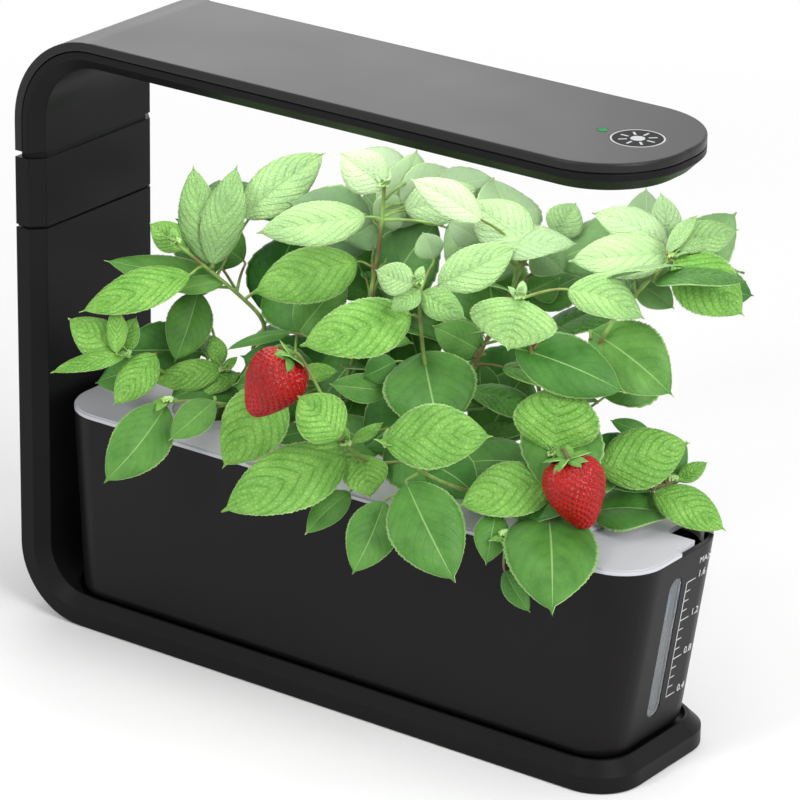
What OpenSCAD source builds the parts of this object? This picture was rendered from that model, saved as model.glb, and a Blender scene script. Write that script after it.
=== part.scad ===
// Countertop hydroponic garden: a C-shaped frame whose base carries a water tank,
// whose post takes a plug-in height segment, and whose arm holds the grow lamp.
// X runs along the tank towards the water gauge, Y to the rear, Z up.
// The origin lies midway under the base, in the plane that the rubber feet stand on.

/* [Overall] */
// Length of the base
garden_l = 340; // [320:1:400]
// Width of the base, the post and the lamp arm
garden_w = 88; // [84:1:110]
// Height to the top of the lamp
garden_h = 292; // [286:1:380]

/* [Frame] */
// Thickness of the base slab, the post and the lamp arm
frame_t = 13.6; // [13:0.1:16]
// 45 degree bevel along the frame's inner edges
edge_bevel = 5.8; // [4:0.1:6.5]
// Outer radius of the bend between base and post
low_bend_r = 35; // [32:1:40]
// Outer radius of the bend between post and lamp arm
top_bend_r = 45; // [40:1:48]
// Corner radius of the base in plan
base_corner_r = 22; // [16:1:30]
// Depth of the seat that the tank stands in
seat_depth = 3.4; // [2:0.1:4]
// How far the rubber feet stand proud of the base
foot_stand = 0.6; // [0.4:0.1:2]
// Height of the seam under the height segment
segment_seam_z = 195; // [170:1:200]
// Height of the height segment
segment_h = 37; // [30:1:60]
// Length of the tongues that plug the post together
tongue_h = 12; // [8:1:16]
// Play of a tongue in its socket, each side
tongue_play = 0.3; // [0.15:0.05:0.5]

/* [Lamp] */
// Distance from the end of the base back to the lamp's nose
nose_setback = 2; // [0:1:20]
// Plan radius of the lamp's nose corners
nose_r = 40; // [30:1:42]
// Thickness of the top cover with its rim
cover_t = 4; // [3.4:0.1:5]
// Height of the shadow line between cover and lamp shell
shadow_gap = 0.7; // [0.4:0.1:1]
// Depth of the shadow line
shadow_depth = 1; // [0.6:0.1:1.4]
// Rows of light-emitting diodes
led_rows = 3; // [2:1:4]
// Diodes in each row
led_count = 12; // [8:1:18]
// Radius of the printed ring round the touch key
key_r = 12; // [9:0.5:13]

/* [Tank] */
// Height of the tank
tank_h = 95; // [80:1:110]
// Wall of the tank
tank_wall = 2.4; // [1.8:0.1:3]
// Height of the planting deck's flange
deck_t = 2.6; // [2:0.1:4]
// Width of the gauge window
window_w = 10; // [8:0.5:12]
// Length of the gauge window along the sloping wall
window_h = 71; // [50:1:72]

/* [Planting] */
// Distance between two planting holes
pod_pitch = 66; // [60:1:70]
// Radius of the planting holes
pod_hole_r = 16.5; // [14:0.5:18]
// Depth of the net cups
pod_depth = 42; // [40:1:50]
// Size of the leaves against the drawn ones
leaf_size = 1; // [0.7:0.05:1]

/* [Hidden] */
$fn = 64;
eps = 0.01;

// Frame: derived places
x_left = -garden_l / 2;
x_right = garden_l / 2;
half_w = garden_w / 2;
base_z = foot_stand;
base_top = base_z + frame_t;
seat_z = base_top - seat_depth;
x_inner = x_left + frame_t;
bend_x = x_left + low_bend_r;
bend_z = base_z + low_bend_r;
seg_top_z = segment_seam_z + segment_h;
top_x = x_left + top_bend_r;
top_z = garden_h - top_bend_r;
arm_z = garden_h - frame_t;
nose_x = x_right - nose_setback;
// Hollow of the post: a slot along Y in the middle of its thickness
hollow_t = 7;
hollow_w = 60;
hollow_x = x_left + frame_t / 2;
hollow_floor_z = base_z + low_bend_r + 4;
neck_floor = 4;
// Grooves at the two seams
seam_gap = 0.5;
low_groove_h = 1;
low_groove_d = 1;
top_groove_h = 3;
top_groove_d = 2.2;
// Underside pocket, its cover and feet
pocket_w = garden_w - 20;
pocket_x0 = bend_x + 4;
pocket_x1 = x_right - 14;
cover_plate_t = 1.8;
pocket_h = 4.6;
fit = 0.3;
foot_r = 5;
foot_l = 48;
foot_in = 1;
screw_r = 1.5;
screw_head_r = 2.8;
screw_head_h = 1.6;
boss_r = 4;
base_screw_x = [pocket_x0 + 12, (pocket_x0 + pocket_x1) / 2, pocket_x1 - 12];
base_screw_y = pocket_w / 2 - 12;
foot_x = [pocket_x0 + 32, 0, pocket_x1 - 32];
// Power inlet on the outer face of the post
jack_z = hollow_floor_z + 9;
jack_r = 4;
jack_bore_r = 2.75;
jack_pin_r = 1;
jack_depth = 9;
// Plug connectors inside the post
plug_w = 24;
plug_t = 5.6;
plug_h = 6;
pin_r = 0.8;
pin_play = 0.08;
pin_h = 4;
pin_y = 6;
lead_r = 1.4;
// Lamp
arm_x0 = top_x;
ceiling_z = garden_h - cover_t - shadow_gap - 1.6;
lamp_wall = 3.2;
diffuser_in = 4.5;
diffuser_t = 2;
diffuser_lift = 1;
board_t = 1.6;
led_s = 3;
led_h = 0.9;
led_x0 = top_x + 14;
board_x0 = top_x + 5.8;
led_x1 = nose_x - 26;
led_pitch_y = 20;
key_x = nose_x - 25.5;
lens_x = key_x - 18;
lens_r = 2.2;
key_deep = 0.4;
ring_line = 0.8;
cover_skin = 1.8;
ctrl_l = 52;
ctrl_w = 34;
ctrl_t = 1;
cover_screw_x = [top_x + 8, (top_x + nose_x) / 2, nose_x - 8];
// Tank: outline at the seat and at the rim, each as [low x, high x, half width, corner radius]
tank_z = seat_z;
rim_z = tank_z + tank_h;
seat_gap = 1.8;
foot_line = [x_left + 23, x_right - edge_bevel - seat_gap - 0.4,
             half_w - edge_bevel - seat_gap, 18];
rim_line = [x_inner + 4.6, x_right + 5, half_w - 4.5, 22];
tank_fillet = 7;
floor_t = 2.4;
// The gauge wall runs tangent to the foot's fillet, up to the rim
end_dx = rim_line[1] - foot_line[1] + tank_fillet;
end_dz = tank_h - 0.5 - tank_fillet;
end_lean = acos(tank_fillet / norm([end_dx, end_dz])) - atan2(end_dz, end_dx);
gauge_x = rim_line[1] - (tank_h - 0.5) * tan(end_lean);
// Gauge on the right-hand wall: local X is the wall's normal, local Z runs up the wall
gauge_y = -3;
window_mid = 50;
window_t = tank_wall;
window_lip = 1.6;
lip_t = 1.2;
seal_t = 0.6;
float_r = 3.7;
float_h = 13;
guide_gap = 0.4;
guide_wall = 1.2;
guide_d = 2 * (float_r + guide_gap);
float_mid = 69.4;
// Deck
skirt_in = 4.2;
skirt_h = 5;
skirt_t = 1.6;
collar_w = 2.2;
collar_h = 1.4;
pod_first_x = (rim_line[0] + rim_line[1]) / 2 - 1.5 * pod_pitch;
deck_z = rim_z + deck_t;
step_y = -2;
step_in = 2.6;
fill_x0 = rim_line[1] - 18;
fill_y = [12, 28];
// Pods
cup_flange_r = pod_hole_r + 2.8;
cup_r = pod_hole_r - 0.5;
cup_low_r = cup_r - 4.5;
cup_t = 1.4;
cup_flange_t = 1.2;
sponge_h = 34;
sponge_r = cup_r - cup_t - 0.6;
sponge_low_r = cup_low_r - cup_t - 0.4 + 1;
stem_hole_r = 2.6;
stem_hole_h = 14;

// --- Plane outlines ---

// Rounded rectangle from x0 to x1, half width h and corner radius r
module outline(x0, x1, h, r) {
    translate([x0 + r, -h]) square([x1 - x0 - 2 * r, 2 * h]);
    translate([x0, -h + r]) square([x1 - x0, 2 * h - 2 * r]);
    for (x = [x0 + r, x1 - r], y = [-h + r, h - r]) translate([x, y]) circle(r);
}

// Outline given as [x0, x1, half width, radius], drawn in by d
module line_in(o, d) {
    outline(o[0] + d, o[1] - d, o[2] - d, o[3] - d);
}

// Cross-section of the frame: the flat outer face at 0, the bevelled inner face at thickness t.
// The outer d are left off, and the sides are drawn in by s.
module frame_section(t = frame_t, d = 0, s = 0) {
    polygon([[d, -half_w + s], [t - edge_bevel, -half_w + s],
             [t, -half_w + edge_bevel + s], [t, half_w - edge_bevel - s],
             [t - edge_bevel, half_w - s], [d, half_w - s]]);
}

// Slot with round ends along Y (in a plane across X), half length h and width w
module post_slot(w, t) {
    translate([hollow_x, 0]) square([t, w], center = true);
}

// Outline of the lamp arm in plan, drawn in by d, starting at x0
module arm_outline(x0, d = 0) {
    r = nose_r - d;
    translate([x0, -half_w + d]) square([nose_x - nose_r - x0, garden_w - 2 * d]);
    translate([nose_x - nose_r - eps, -half_w + nose_r]) square([nose_r - d + eps, garden_w - 2 * nose_r]);
    for (s = [-1, 1]) translate([nose_x - nose_r, s * (half_w - nose_r)]) circle(r);
}

// --- Frame pieces ---

// Plate with a rounded right-hand end and its upper edges bevelled
module base_slab() {
    r = base_corner_r;
    side_h = frame_t - edge_bevel;
    len = x_right - bend_x;
    translate([0, 0, base_z]) linear_extrude(side_h) {
        translate([bend_x, -half_w]) square([len - r, garden_w]);
        translate([bend_x, -half_w + r]) square([len, garden_w - 2 * r]);
        for (s = [-1, 1]) translate([x_right - r, s * (half_w - r)]) circle(r);
    }
    // Bevelled upper part: wedges along the sides and the end, cones at the corners
    translate([0, 0, base_z + side_h]) {
        translate([bend_x, 0, 0]) rotate([90, 0, 90])
            linear_extrude(len - r) polygon([[-half_w, 0], [half_w, 0],
                [half_w - edge_bevel, edge_bevel], [-half_w + edge_bevel, edge_bevel]]);
        translate([x_right - r, half_w - r, 0]) rotate([90, 0, 0])
            linear_extrude(garden_w - 2 * r) polygon([[-eps, 0], [r, 0],
                [r - edge_bevel, edge_bevel], [-eps, edge_bevel]]);
        for (s = [-1, 1]) translate([x_right - r, s * (half_w - r), 0])
            cylinder(r1 = r, r2 = r - edge_bevel, h = edge_bevel);
    }
}

// Quarter bend of the frame about the point (x, z), from angle a, with outer radius r
module frame_bend(x, z, r, a, d = 0, s = 0) {
    translate([x, 0, z]) rotate([90, 0, 0]) rotate([0, 0, a])
        rotate_extrude(angle = 90, $fn = 96)
            translate([r, 0]) mirror([1, 0]) frame_section(d = d, s = s);
}

// Straight length of the post from z0 to z1
module post_length(z0, z1, d = 0, s = 0, t = frame_t) {
    translate([x_left, 0, z0]) linear_extrude(z1 - z0) frame_section(t = t, d = d, s = s);
}

module base_frame() {
    color("#2b2b2d") difference() {
        union() {
            base_slab();
            frame_bend(bend_x, bend_z, low_bend_r, 180);
            post_length(bend_z, segment_seam_z - seam_gap);
        }
        // Seat of the tank
        translate([0, 0, seat_z]) linear_extrude(40)
            line_in([foot_line[0] - seat_gap, foot_line[1] + seat_gap,
                     foot_line[2] + seat_gap, foot_line[3] + seat_gap], 0);
        // Hollow of the post, for the tongue above and the lead
        channel(hollow_floor_z, segment_seam_z);
        // Bore of the power inlet
        translate([x_left - 1, 0, jack_z]) rotate([0, 90, 0])
            cylinder(r = jack_r + fit / 2, h = frame_t / 2);
        // Underside pocket with its cover's ledge
        translate([pocket_x0, -pocket_w / 2, base_z - 1])
            cube([pocket_x1 - pocket_x0, pocket_w, cover_plate_t + 1]);
        difference() {
            translate([pocket_x0 + 3, -pocket_w / 2 + 3, base_z])
                cube([pocket_x1 - pocket_x0 - 6, pocket_w - 6, cover_plate_t + pocket_h]);
            // Ribs across the pocket, and bosses for the screws
            for (x = base_screw_x) translate([x - 0.8, -pocket_w / 2, base_z])
                cube([1.6, pocket_w, frame_t]);
            for (x = base_screw_x, s = [-1, 1]) translate([x, s * base_screw_y, base_z])
                cylinder(r = boss_r, h = frame_t);
        }
        translate([pocket_x0, -pocket_w / 2, base_z])
            cube([pocket_x1 - pocket_x0, pocket_w, cover_plate_t]);
        for (x = base_screw_x, s = [-1, 1]) translate([x, s * base_screw_y, base_z])
            cylinder(r = screw_r + 0.05, h = cover_plate_t + pocket_h);
    }
}

module base_cover() {
    color("#232325") difference() {
        translate([pocket_x0 + fit, -pocket_w / 2 + fit, base_z])
            cube([pocket_x1 - pocket_x0 - 2 * fit, pocket_w - 2 * fit, cover_plate_t]);
        for (x = base_screw_x, s = [-1, 1]) translate([x, s * base_screw_y, base_z - 1])
            cylinder(r = screw_r + 0.2, h = 4);
        for (x = base_screw_x, s = [-1, 1]) translate([x, s * base_screw_y, base_z - 1])
            cylinder(r = screw_head_r + 0.2, h = 1 + cover_plate_t - 0.6);
        for (x = foot_x) translate([x, 0, base_z - 1])
            linear_extrude(1 + foot_in) foot_outline(foot_r + 0.15);
    }
}

module rubber_feet() {
    color("#111112") for (x = foot_x) translate([x, 0, 0])
        linear_extrude(foot_stand + foot_in) foot_outline(foot_r);
}

// Strip with round ends across the base
module foot_outline(r) {
    square([2 * r, foot_l - 2 * foot_r], center = true);
    for (s = [-1, 1]) translate([0, s * (foot_l / 2 - foot_r)]) circle(r);
}

module base_screws() {
    color("#8f9194") for (x = base_screw_x, s = [-1, 1]) translate([x, s * base_screw_y, base_z]) {
        difference() {
            translate([0, 0, 0.1]) cylinder(r = screw_head_r, h = cover_plate_t - 0.7);
            for (a = [0, 90]) rotate([0, 0, a]) translate([-1.8, -0.3, 0]) cube([3.6, 0.6, 0.5]);
        }
        translate([0, 0, cover_plate_t - 0.61]) cylinder(r = screw_r, h = 5);
    }
}

// --- Power path in the post ---

module dc_jack() {
    color("#1b1b1c") translate([x_left, 0, jack_z]) rotate([0, 90, 0]) difference() {
        union() {
            cylinder(r = jack_r, h = frame_t / 2 + 2);
        }
        difference() {
            translate([0, 0, -1]) cylinder(r = jack_bore_r, h = jack_depth - 1.5);
            cylinder(r = jack_pin_r, h = jack_depth);
        }
    }
}

// Two-core lead standing in the middle of the hollow
module lead(z0, z1) {
    for (s = [-1, 1]) translate([hollow_x, s * lead_r, z0]) cylinder(r = lead_r, h = z1 - z0);
}

// Female connector: a block whose two sockets open upwards at z
module socket_block(z) {
    translate([hollow_x, 0, z]) difference() {
        translate([-plug_t / 2, -plug_w / 2, -plug_h]) cube([plug_t, plug_w, plug_h]);
        for (s = [-1, 1]) translate([0, s * pin_y, -pin_h - 0.4])
            cylinder(r = pin_r + pin_play, h = pin_h + 1);
    }
}

// Male connector: a block whose underside is at z, with two pins below it
module plug_block(z) {
    translate([hollow_x, 0, z]) {
        translate([-plug_t / 2, -plug_w / 2, 0]) cube([plug_t, plug_w, plug_h]);
        for (s = [-1, 1]) translate([0, s * pin_y, -pin_h]) cylinder(r = pin_r, h = pin_h + eps);
    }
}

// Channel from z0 up to a seam at z1: wide, narrow where it holds the socket block, wide again
module channel(z0, z1) {
    translate([0, 0, z0]) linear_extrude(z1 - tongue_h - plug_h - 1 - z0) post_slot(hollow_w, hollow_t);
    translate([0, 0, z0]) linear_extrude(z1 - z0) post_slot(plug_w, plug_t);
    translate([0, 0, z1 - tongue_h]) linear_extrude(tongue_h + 10) post_slot(hollow_w, hollow_t);
}

low_plug_z = segment_seam_z - tongue_h;
top_plug_z = seg_top_z - tongue_h;
tongue_w = hollow_w - 2 * tongue_play;
tongue_t = hollow_t - 2 * tongue_play;

// Hollow tongue hanging from z, with room for the connector block
module tongue(z) {
    difference() {
        translate([hollow_x - tongue_t / 2, -tongue_w / 2, z - tongue_h])
            cube([tongue_t, tongue_w, tongue_h + eps]);
        translate([hollow_x - plug_t / 2, -plug_w / 2, z - tongue_h - 1])
            cube([plug_t, plug_w, tongue_h + 2]);
    }
}

module post_lead() {
    color("#3a3a3d") lead(jack_z + jack_r, low_plug_z - plug_h);
}

module post_socket() {
    color("#e6e4dc") socket_block(low_plug_z);
}

module segment_shell() {
    z0 = segment_seam_z;
    z1 = seg_top_z;
    color("#28282a") {
        difference() {
            union() {
                post_length(z0 + low_groove_h, z1 - top_groove_h);
                // Set-back necks that show as the grooves at the seams
                translate([low_groove_d * 0.5, 0, 0])
                    post_length(z0, z0 + low_groove_h + eps, s = low_groove_d, t = frame_t - low_groove_d);
                translate([top_groove_d, 0, 0])
                    post_length(z1 - top_groove_h - eps, z1, s = top_groove_d, t = frame_t - top_groove_d - 1);
            }
            channel(z0 + neck_floor, z1);
            translate([hollow_x - plug_t / 2, -plug_w / 2, z0 - 1]) cube([plug_t, plug_w, 8]);
        }
        tongue(z0);
    }
}

module segment_plug() {
    color("#e6e4dc") plug_block(low_plug_z);
}

module segment_socket() {
    color("#e6e4dc") socket_block(top_plug_z);
}

module segment_lead() {
    color("#3a3a3d") lead(low_plug_z + plug_h, top_plug_z - plug_h);
}

module lamp_plug() {
    color("#e6e4dc") plug_block(top_plug_z);
}

module lamp_lead() {
    color("#3a3a3d") {
        lead(top_plug_z + plug_h, top_z);
        // Round the bend, then along the arm to the boards
        for (s = [-1, 1]) {
            translate([top_x, s * lead_r, top_z]) rotate([90, 0, 0]) rotate([0, 0, 90])
                rotate_extrude(angle = 90) translate([top_bend_r - frame_t / 2, 0]) circle(lead_r, $fn = 24);
            translate([top_x, s * lead_r, garden_h - frame_t / 2]) rotate([0, 90, 0])
                cylinder(r = lead_r, h = 5.5, $fn = 24);
        }
    }
}

// --- Lamp head ---

// Inner part of the arm, from the underside up to z1, inset by d at the sides
module arm_block(z1, d) {
    side_z = arm_z + edge_bevel;
    translate([0, 0, side_z - eps]) linear_extrude(z1 - side_z + eps) arm_outline(arm_x0, d);
    // Bevelled lower part: a wedge along the arm, cones round the nose
    translate([arm_x0, 0, arm_z]) rotate([90, 0, 90])
        linear_extrude(nose_x - nose_r - arm_x0) polygon([
            [-half_w + edge_bevel, 0], [half_w - edge_bevel, 0],
            [half_w, edge_bevel], [-half_w, edge_bevel]]);
    translate([nose_x - nose_r, 0, arm_z]) rotate([90, 0, 0])
        linear_extrude(garden_w - 2 * nose_r, center = true) polygon([
            [-eps, 0], [nose_r - edge_bevel, 0], [nose_r, edge_bevel], [-eps, edge_bevel]]);
    for (s = [-1, 1]) translate([nose_x - nose_r, s * (half_w - nose_r), arm_z])
        cylinder(r1 = nose_r - edge_bevel, r2 = nose_r, h = edge_bevel);
}

module lamp_shell() {
    deep = cover_t + shadow_gap;
    lip_z = garden_h - deep;
    color("#2b2b2d") {
        difference() {
            union() {
                post_length(seg_top_z, top_z, d = deep);
                frame_bend(top_x, top_z, top_bend_r, 90, d = deep);
                arm_block(lip_z, 0);
                // Set-back lip that shows as the shadow line under the cover
                translate([0, 0, lip_z - eps]) linear_extrude(shadow_gap)
                    arm_outline(arm_x0, shadow_depth);
                frame_bend_lip();
            }
            // Hollow of the neck, the bend and the arm
            translate([0, 0, seg_top_z + neck_floor]) linear_extrude(top_z - seg_top_z - neck_floor)
                post_slot(hollow_w, hollow_t);
            translate([hollow_x - plug_t / 2, -plug_w / 2, seg_top_z - 1]) cube([plug_t, plug_w, 8]);
            bend_hollow();
            translate([0, 0, arm_z - 1]) linear_extrude(ceiling_z - arm_z + 1)
                arm_outline(arm_x0 + 4, edge_bevel + lamp_wall);
            translate([arm_x0 - eps, -8, garden_h - frame_t / 2 - 3]) cube([6, 16, 6]);
            translate([0, 0, arm_z - 1]) linear_extrude(1 + diffuser_lift + diffuser_t)
                arm_outline(arm_x0 + 6 - edge_bevel, edge_bevel + lamp_wall - 1.6);
            // Pocket of the control board
            translate([key_x - ctrl_l + 9, -ctrl_w / 2 - 1, ceiling_z - 1])
                cube([ctrl_l + 2, ctrl_w + 2, 10]);
            for (x = cover_screw_x, s = [-1, 1]) if (x > top_x) translate([x, s * cover_screw_y(x), arm_z + 6])
                cylinder(r = screw_r + 0.1, h = 20);
        }
        tongue(seg_top_z);
    }
}

function cover_screw_y(x) = x > nose_x - nose_r ? 0 : half_w - edge_bevel - 8;

// The set-back lip round the bend and down the neck
module frame_bend_lip() {
    frame_bend(top_x, top_z, top_bend_r, 90, d = cover_t + 0.3, s = shadow_depth);
    post_length(seg_top_z, top_z, d = cover_t + 0.3, s = shadow_depth);
}

// Curved hollow for the lead round the top bend
module bend_hollow() {
    translate([top_x, 0, top_z]) rotate([90, 0, 0]) rotate([0, 0, 90])
        rotate_extrude(angle = 90, $fn = 96)
            translate([top_bend_r - frame_t / 2, 0]) square([6, 16], center = true);
}

module lamp_cover() {
    color("#303032") difference() {
        union() {
            // Strip down the back of the neck, round the bend and along the arm
            translate([x_left, 0, seg_top_z + 0.05]) linear_extrude(top_z - seg_top_z - 0.05)
                translate([0, -half_w]) square([cover_t, garden_w]);
            translate([top_x, 0, top_z]) rotate([90, 0, 0]) rotate([0, 0, 90])
                rotate_extrude(angle = 90, $fn = 96)
                    translate([top_bend_r - cover_t, -half_w]) square([cover_t, garden_w]);
            translate([0, 0, garden_h - cover_t]) linear_extrude(cover_t - 1) arm_outline(arm_x0);
            // Softened top edge round the arm
            translate([0, 0, garden_h - 1 - eps]) linear_extrude(1 + eps) arm_outline(arm_x0, 1);
            translate([arm_x0, 0, garden_h - 1]) rotate([90, 0, 90])
                linear_extrude(nose_x - nose_r - arm_x0) intersection() {
                    union() {
                        for (s = [-1, 1]) translate([s * (half_w - 1), 0]) circle(1, $fn = 24);
                        translate([-half_w + 1, 0]) square([garden_w - 2, 1]);
                    }
                    translate([-half_w, 0]) square([garden_w, 1]);
                }
            for (s = [-1, 1]) translate([nose_x - nose_r, s * (half_w - nose_r), garden_h - 1])
                rotate_extrude() intersection() {
                    union() {
                        translate([nose_r - 1, 0]) circle(1, $fn = 24);
                        square([nose_r - 1, 1]);
                    }
                    square([nose_r, 1]);
                }
        }
        // Hollow under the skin, with room for the control board
        translate([0, 0, garden_h - cover_t - 1]) linear_extrude(1 + cover_t - cover_skin)
            difference() {
                arm_outline(arm_x0 + 2, 4);
                for (x = cover_screw_x, s = [-1, 1]) translate([x, s * cover_screw_y(x)]) circle(3);
            }
        // Shallow seat of the key's print, and the bore of the indicator
        translate([key_x, 0, garden_h - key_deep]) key_marks(key_deep + 1);
        translate([lens_x, 0, garden_h - 6]) cylinder(r = lens_r + 0.05, h = 10);
        for (x = cover_screw_x, s = [-1, 1]) translate([x, s * cover_screw_y(x), garden_h - cover_t - 1])
            cylinder(r = screw_r + 0.05, h = 1 + cover_t - 1.4);
    }
}

// Ring, hub and rays of the printed sun
module key_marks(h) {
    difference() {
        cylinder(r = key_r, h = h);
        translate([0, 0, -1]) cylinder(r = key_r - ring_line, h = h + 2);
    }
    cylinder(r = key_r * 0.27, h = h);
    for (a = [0:45:315]) rotate([0, 0, a])
        translate([key_r * 0.4, -0.55, 0]) cube([key_r * 0.32, 1.1, h]);
}

module key_symbol() {
    color("white") translate([key_x, 0, garden_h - key_deep]) key_marks(key_deep);
}

module indicator_lens() {
    color("#2fbf5a") translate([lens_x, 0, garden_h - cover_skin - 0.2])
        cylinder(r = lens_r, h = cover_skin + 0.3);
}

module diffuser() {
    color("#f4f4f0") translate([0, 0, arm_z + diffuser_lift]) linear_extrude(diffuser_t)
        arm_outline(arm_x0 + 6 - edge_bevel + fit, edge_bevel + lamp_wall - 1.6 + fit);
}

module led_board() {
    color("#e9ecee") translate([0, 0, ceiling_z - 1 - board_t]) difference() {
        translate([board_x0, -led_pitch_y * (led_rows - 1) / 2 - 6, 0])
            cube([led_x1 + 7 - board_x0, led_pitch_y * (led_rows - 1) + 12, board_t]);
        for (x = [led_x0 - 4, led_x1 + 3.5], s = [-1, 1])
            translate([x, s * led_pitch_y * 0.5, -1]) cylinder(r = 1.6, h = 4);
    }
}

module leds() {
    color("#f7e27a") for (i = [0:led_count - 1], j = [0:led_rows - 1])
        translate([led_x0 + (led_x1 - led_x0) * i / (led_count - 1) - led_s / 2,
                   (j - (led_rows - 1) / 2) * led_pitch_y - led_s / 2,
                   ceiling_z - 1 - board_t - led_h]) cube([led_s, led_s, led_h]);
}

module control_board() {
    bx = key_x - ctrl_l + 10;
    bz = garden_h - cover_skin - 1.2 - ctrl_t;
    color("#2f6b45") {
        translate([bx, -ctrl_w / 2, bz]) cube([ctrl_l, ctrl_w, ctrl_t]);
        for (p = [[6, 5, 8, 6], [18, 20, 6, 6], [30, 6, 5, 9]])
            translate([bx + p[0], -ctrl_w / 2 + p[1], bz - 1.4]) cube([p[2], p[3], 1.4 + eps]);
    }
}

module key_spring() {
    color("#c9a24a") translate([key_x, 0, garden_h - cover_skin - 1.2])
        difference() {
            cylinder(r = 4.5, h = 1.1);
            translate([0, 0, -1]) cylinder(r = 3.4, h = 4);
        }
}

module cover_screws() {
    color("#8f9194") for (x = cover_screw_x, s = (x > nose_x - nose_r ? [1] : [-1, 1]))
        translate([x, s * cover_screw_y(x), arm_z + 6.5])
            cylinder(r = screw_r, h = garden_h - cover_t + 2.2 - arm_z - 6.5);
}

// --- Tank and gauge ---

// Solid with the tank's tapering form, drawn in by d, its foot raised by lift
module tank_form(d, lift, top) {
    f = tank_fillet - d;
    g = lift / tank_h;
    o = [for (i = [0:3]) foot_line[i] + (rim_line[i] - foot_line[i]) * g];
    hull() {
        for (x = [o[0] + o[3], o[1] - o[3]], y = [-o[2] + o[3], o[2] - o[3]])
            translate([x, y, tank_z + lift + f])
                rotate_extrude($fn = 40) intersection() {
                    translate([o[3] - d - f, 0]) circle(f, $fn = 24);
                    translate([0, -f]) square([o[3] - d, 2 * f]);
                }
        translate([0, 0, rim_z - 0.5]) linear_extrude(0.5 + top, $fn = 40) line_in(rim_line, d);
    }
}

// Puts its children on the gauge's axis, on the outer face of the end wall
module on_gauge() {
    translate([gauge_x, gauge_y, tank_z]) rotate([0, end_lean, 0]) children();
}

// Slot with round ends across the wall: width w, length h, from x0 to x1 along the normal
module gauge_slot(w, h, x0, x1) {
    translate([x0, 0, window_mid]) rotate([0, 90, 0]) linear_extrude(x1 - x0) {
        square([h - w, w], center = true);
        for (s = [-1, 1]) translate([s * (h - w) / 2, 0]) circle(w / 2);
    }
}

module tank() {
    color("#2a2a2c") difference() {
        tank_form(0, 0, 0);
        tank_form(tank_wall, floor_t, 1);
        on_gauge() gauge_slot(window_w, window_h, -tank_wall - 1, 1);
    }
}

module gauge_window() {
    color([0.75, 0.85, 0.9, 0.5]) on_gauge() {
        gauge_slot(window_w - 2 * 0.1, window_h - 2 * 0.1, -tank_wall - seal_t - eps, -0.3);
        gauge_slot(window_w + 2 * window_lip, window_h + 2 * window_lip,
                   -tank_wall - seal_t - lip_t, -tank_wall - seal_t);
    }
}

module window_seal() {
    color("#d8d8d4") on_gauge() difference() {
        gauge_slot(window_w + 2 * window_lip, window_h + 2 * window_lip, -tank_wall - seal_t, -tank_wall);
        gauge_slot(window_w + 0.1, window_h + 0.1, -tank_wall - seal_t - 1, -tank_wall + 1);
    }
}

module float_guide() {
    back = -tank_wall - seal_t - lip_t;
    h = window_h + 2 * window_lip;
    color("#202022") on_gauge() difference() {
        translate([back - guide_d - guide_wall, -guide_d / 2 - guide_wall, window_mid - h / 2])
            cube([guide_d + guide_wall, guide_d + 2 * guide_wall, h]);
        translate([back - guide_d, -guide_d / 2, window_mid - h / 2 + 1.5])
            cube([guide_d + 1, guide_d, h - 3]);
        // Water slots in the back of the guide
        for (i = [0:4]) translate([back - guide_d - guide_wall - 1, -1.5, window_mid - h / 2 + 6 + i * (h - 14) / 4.4])
            cube([3, 3, 6]);
    }
}

module gauge_float() {
    back = -tank_wall - seal_t - lip_t;
    color("#2b7fb0") on_gauge() translate([back - guide_d / 2, 0, float_mid - float_h / 2]) {
        cylinder(r1 = float_r - 0.8, r2 = float_r, h = 0.8);
        translate([0, 0, 0.8]) cylinder(r = float_r, h = float_h - 1.6);
        translate([0, 0, float_h - 0.8]) cylinder(r1 = float_r, r2 = float_r - 0.8, h = 0.8);
    }
}

// --- Deck and pods ---

function pod_x(i) = pod_first_x + i * pod_pitch;

module deck() {
    color("#b9b9bd") difference() {
        union() {
            translate([0, 0, rim_z]) linear_extrude(deck_t - 0.8) line_in(rim_line, 0.1);
            translate([0, 0, rim_z + deck_t - 0.8 - eps]) linear_extrude(0.8 + eps) line_in(rim_line, 0.7);
            // Skirt inside the rim
            translate([0, 0, rim_z - skirt_h]) linear_extrude(skirt_h + eps) difference() {
                line_in(rim_line, skirt_in);
                line_in(rim_line, skirt_in + skirt_t);
            }
            // Raised collar round each planting hole
            for (i = [0:3]) translate([pod_x(i), 0, deck_z - eps])
                cylinder(r = cup_flange_r + 0.4 + collar_w, h = collar_h + eps);
        }
        for (i = [0:3]) translate([pod_x(i), 0, rim_z - 1]) cylinder(r = pod_hole_r, h = 20);
        for (i = [0:3]) translate([pod_x(i), 0, deck_z]) cylinder(r = cup_flange_r + 0.4, h = 20);
        // The flange steps in along the rear of the gauge end, and opens there for filling
        translate([rim_line[1] - step_in, step_y, rim_z - eps]) cube([10, garden_w, deck_t + 1]);
        translate([fill_x0 + 3, fill_y[0], rim_z - skirt_h - 1]) cube([30, fill_y[1] - fill_y[0], 20]);
        translate([fill_x0, fill_y[0] + 3, rim_z - skirt_h - 1]) cube([30, fill_y[1] - fill_y[0] - 6, 20]);
        for (y = [fill_y[0] + 3, fill_y[1] - 3]) translate([fill_x0 + 3, y, rim_z - skirt_h - 1])
            cylinder(r = 3, h = 20);
    }
}

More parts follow.
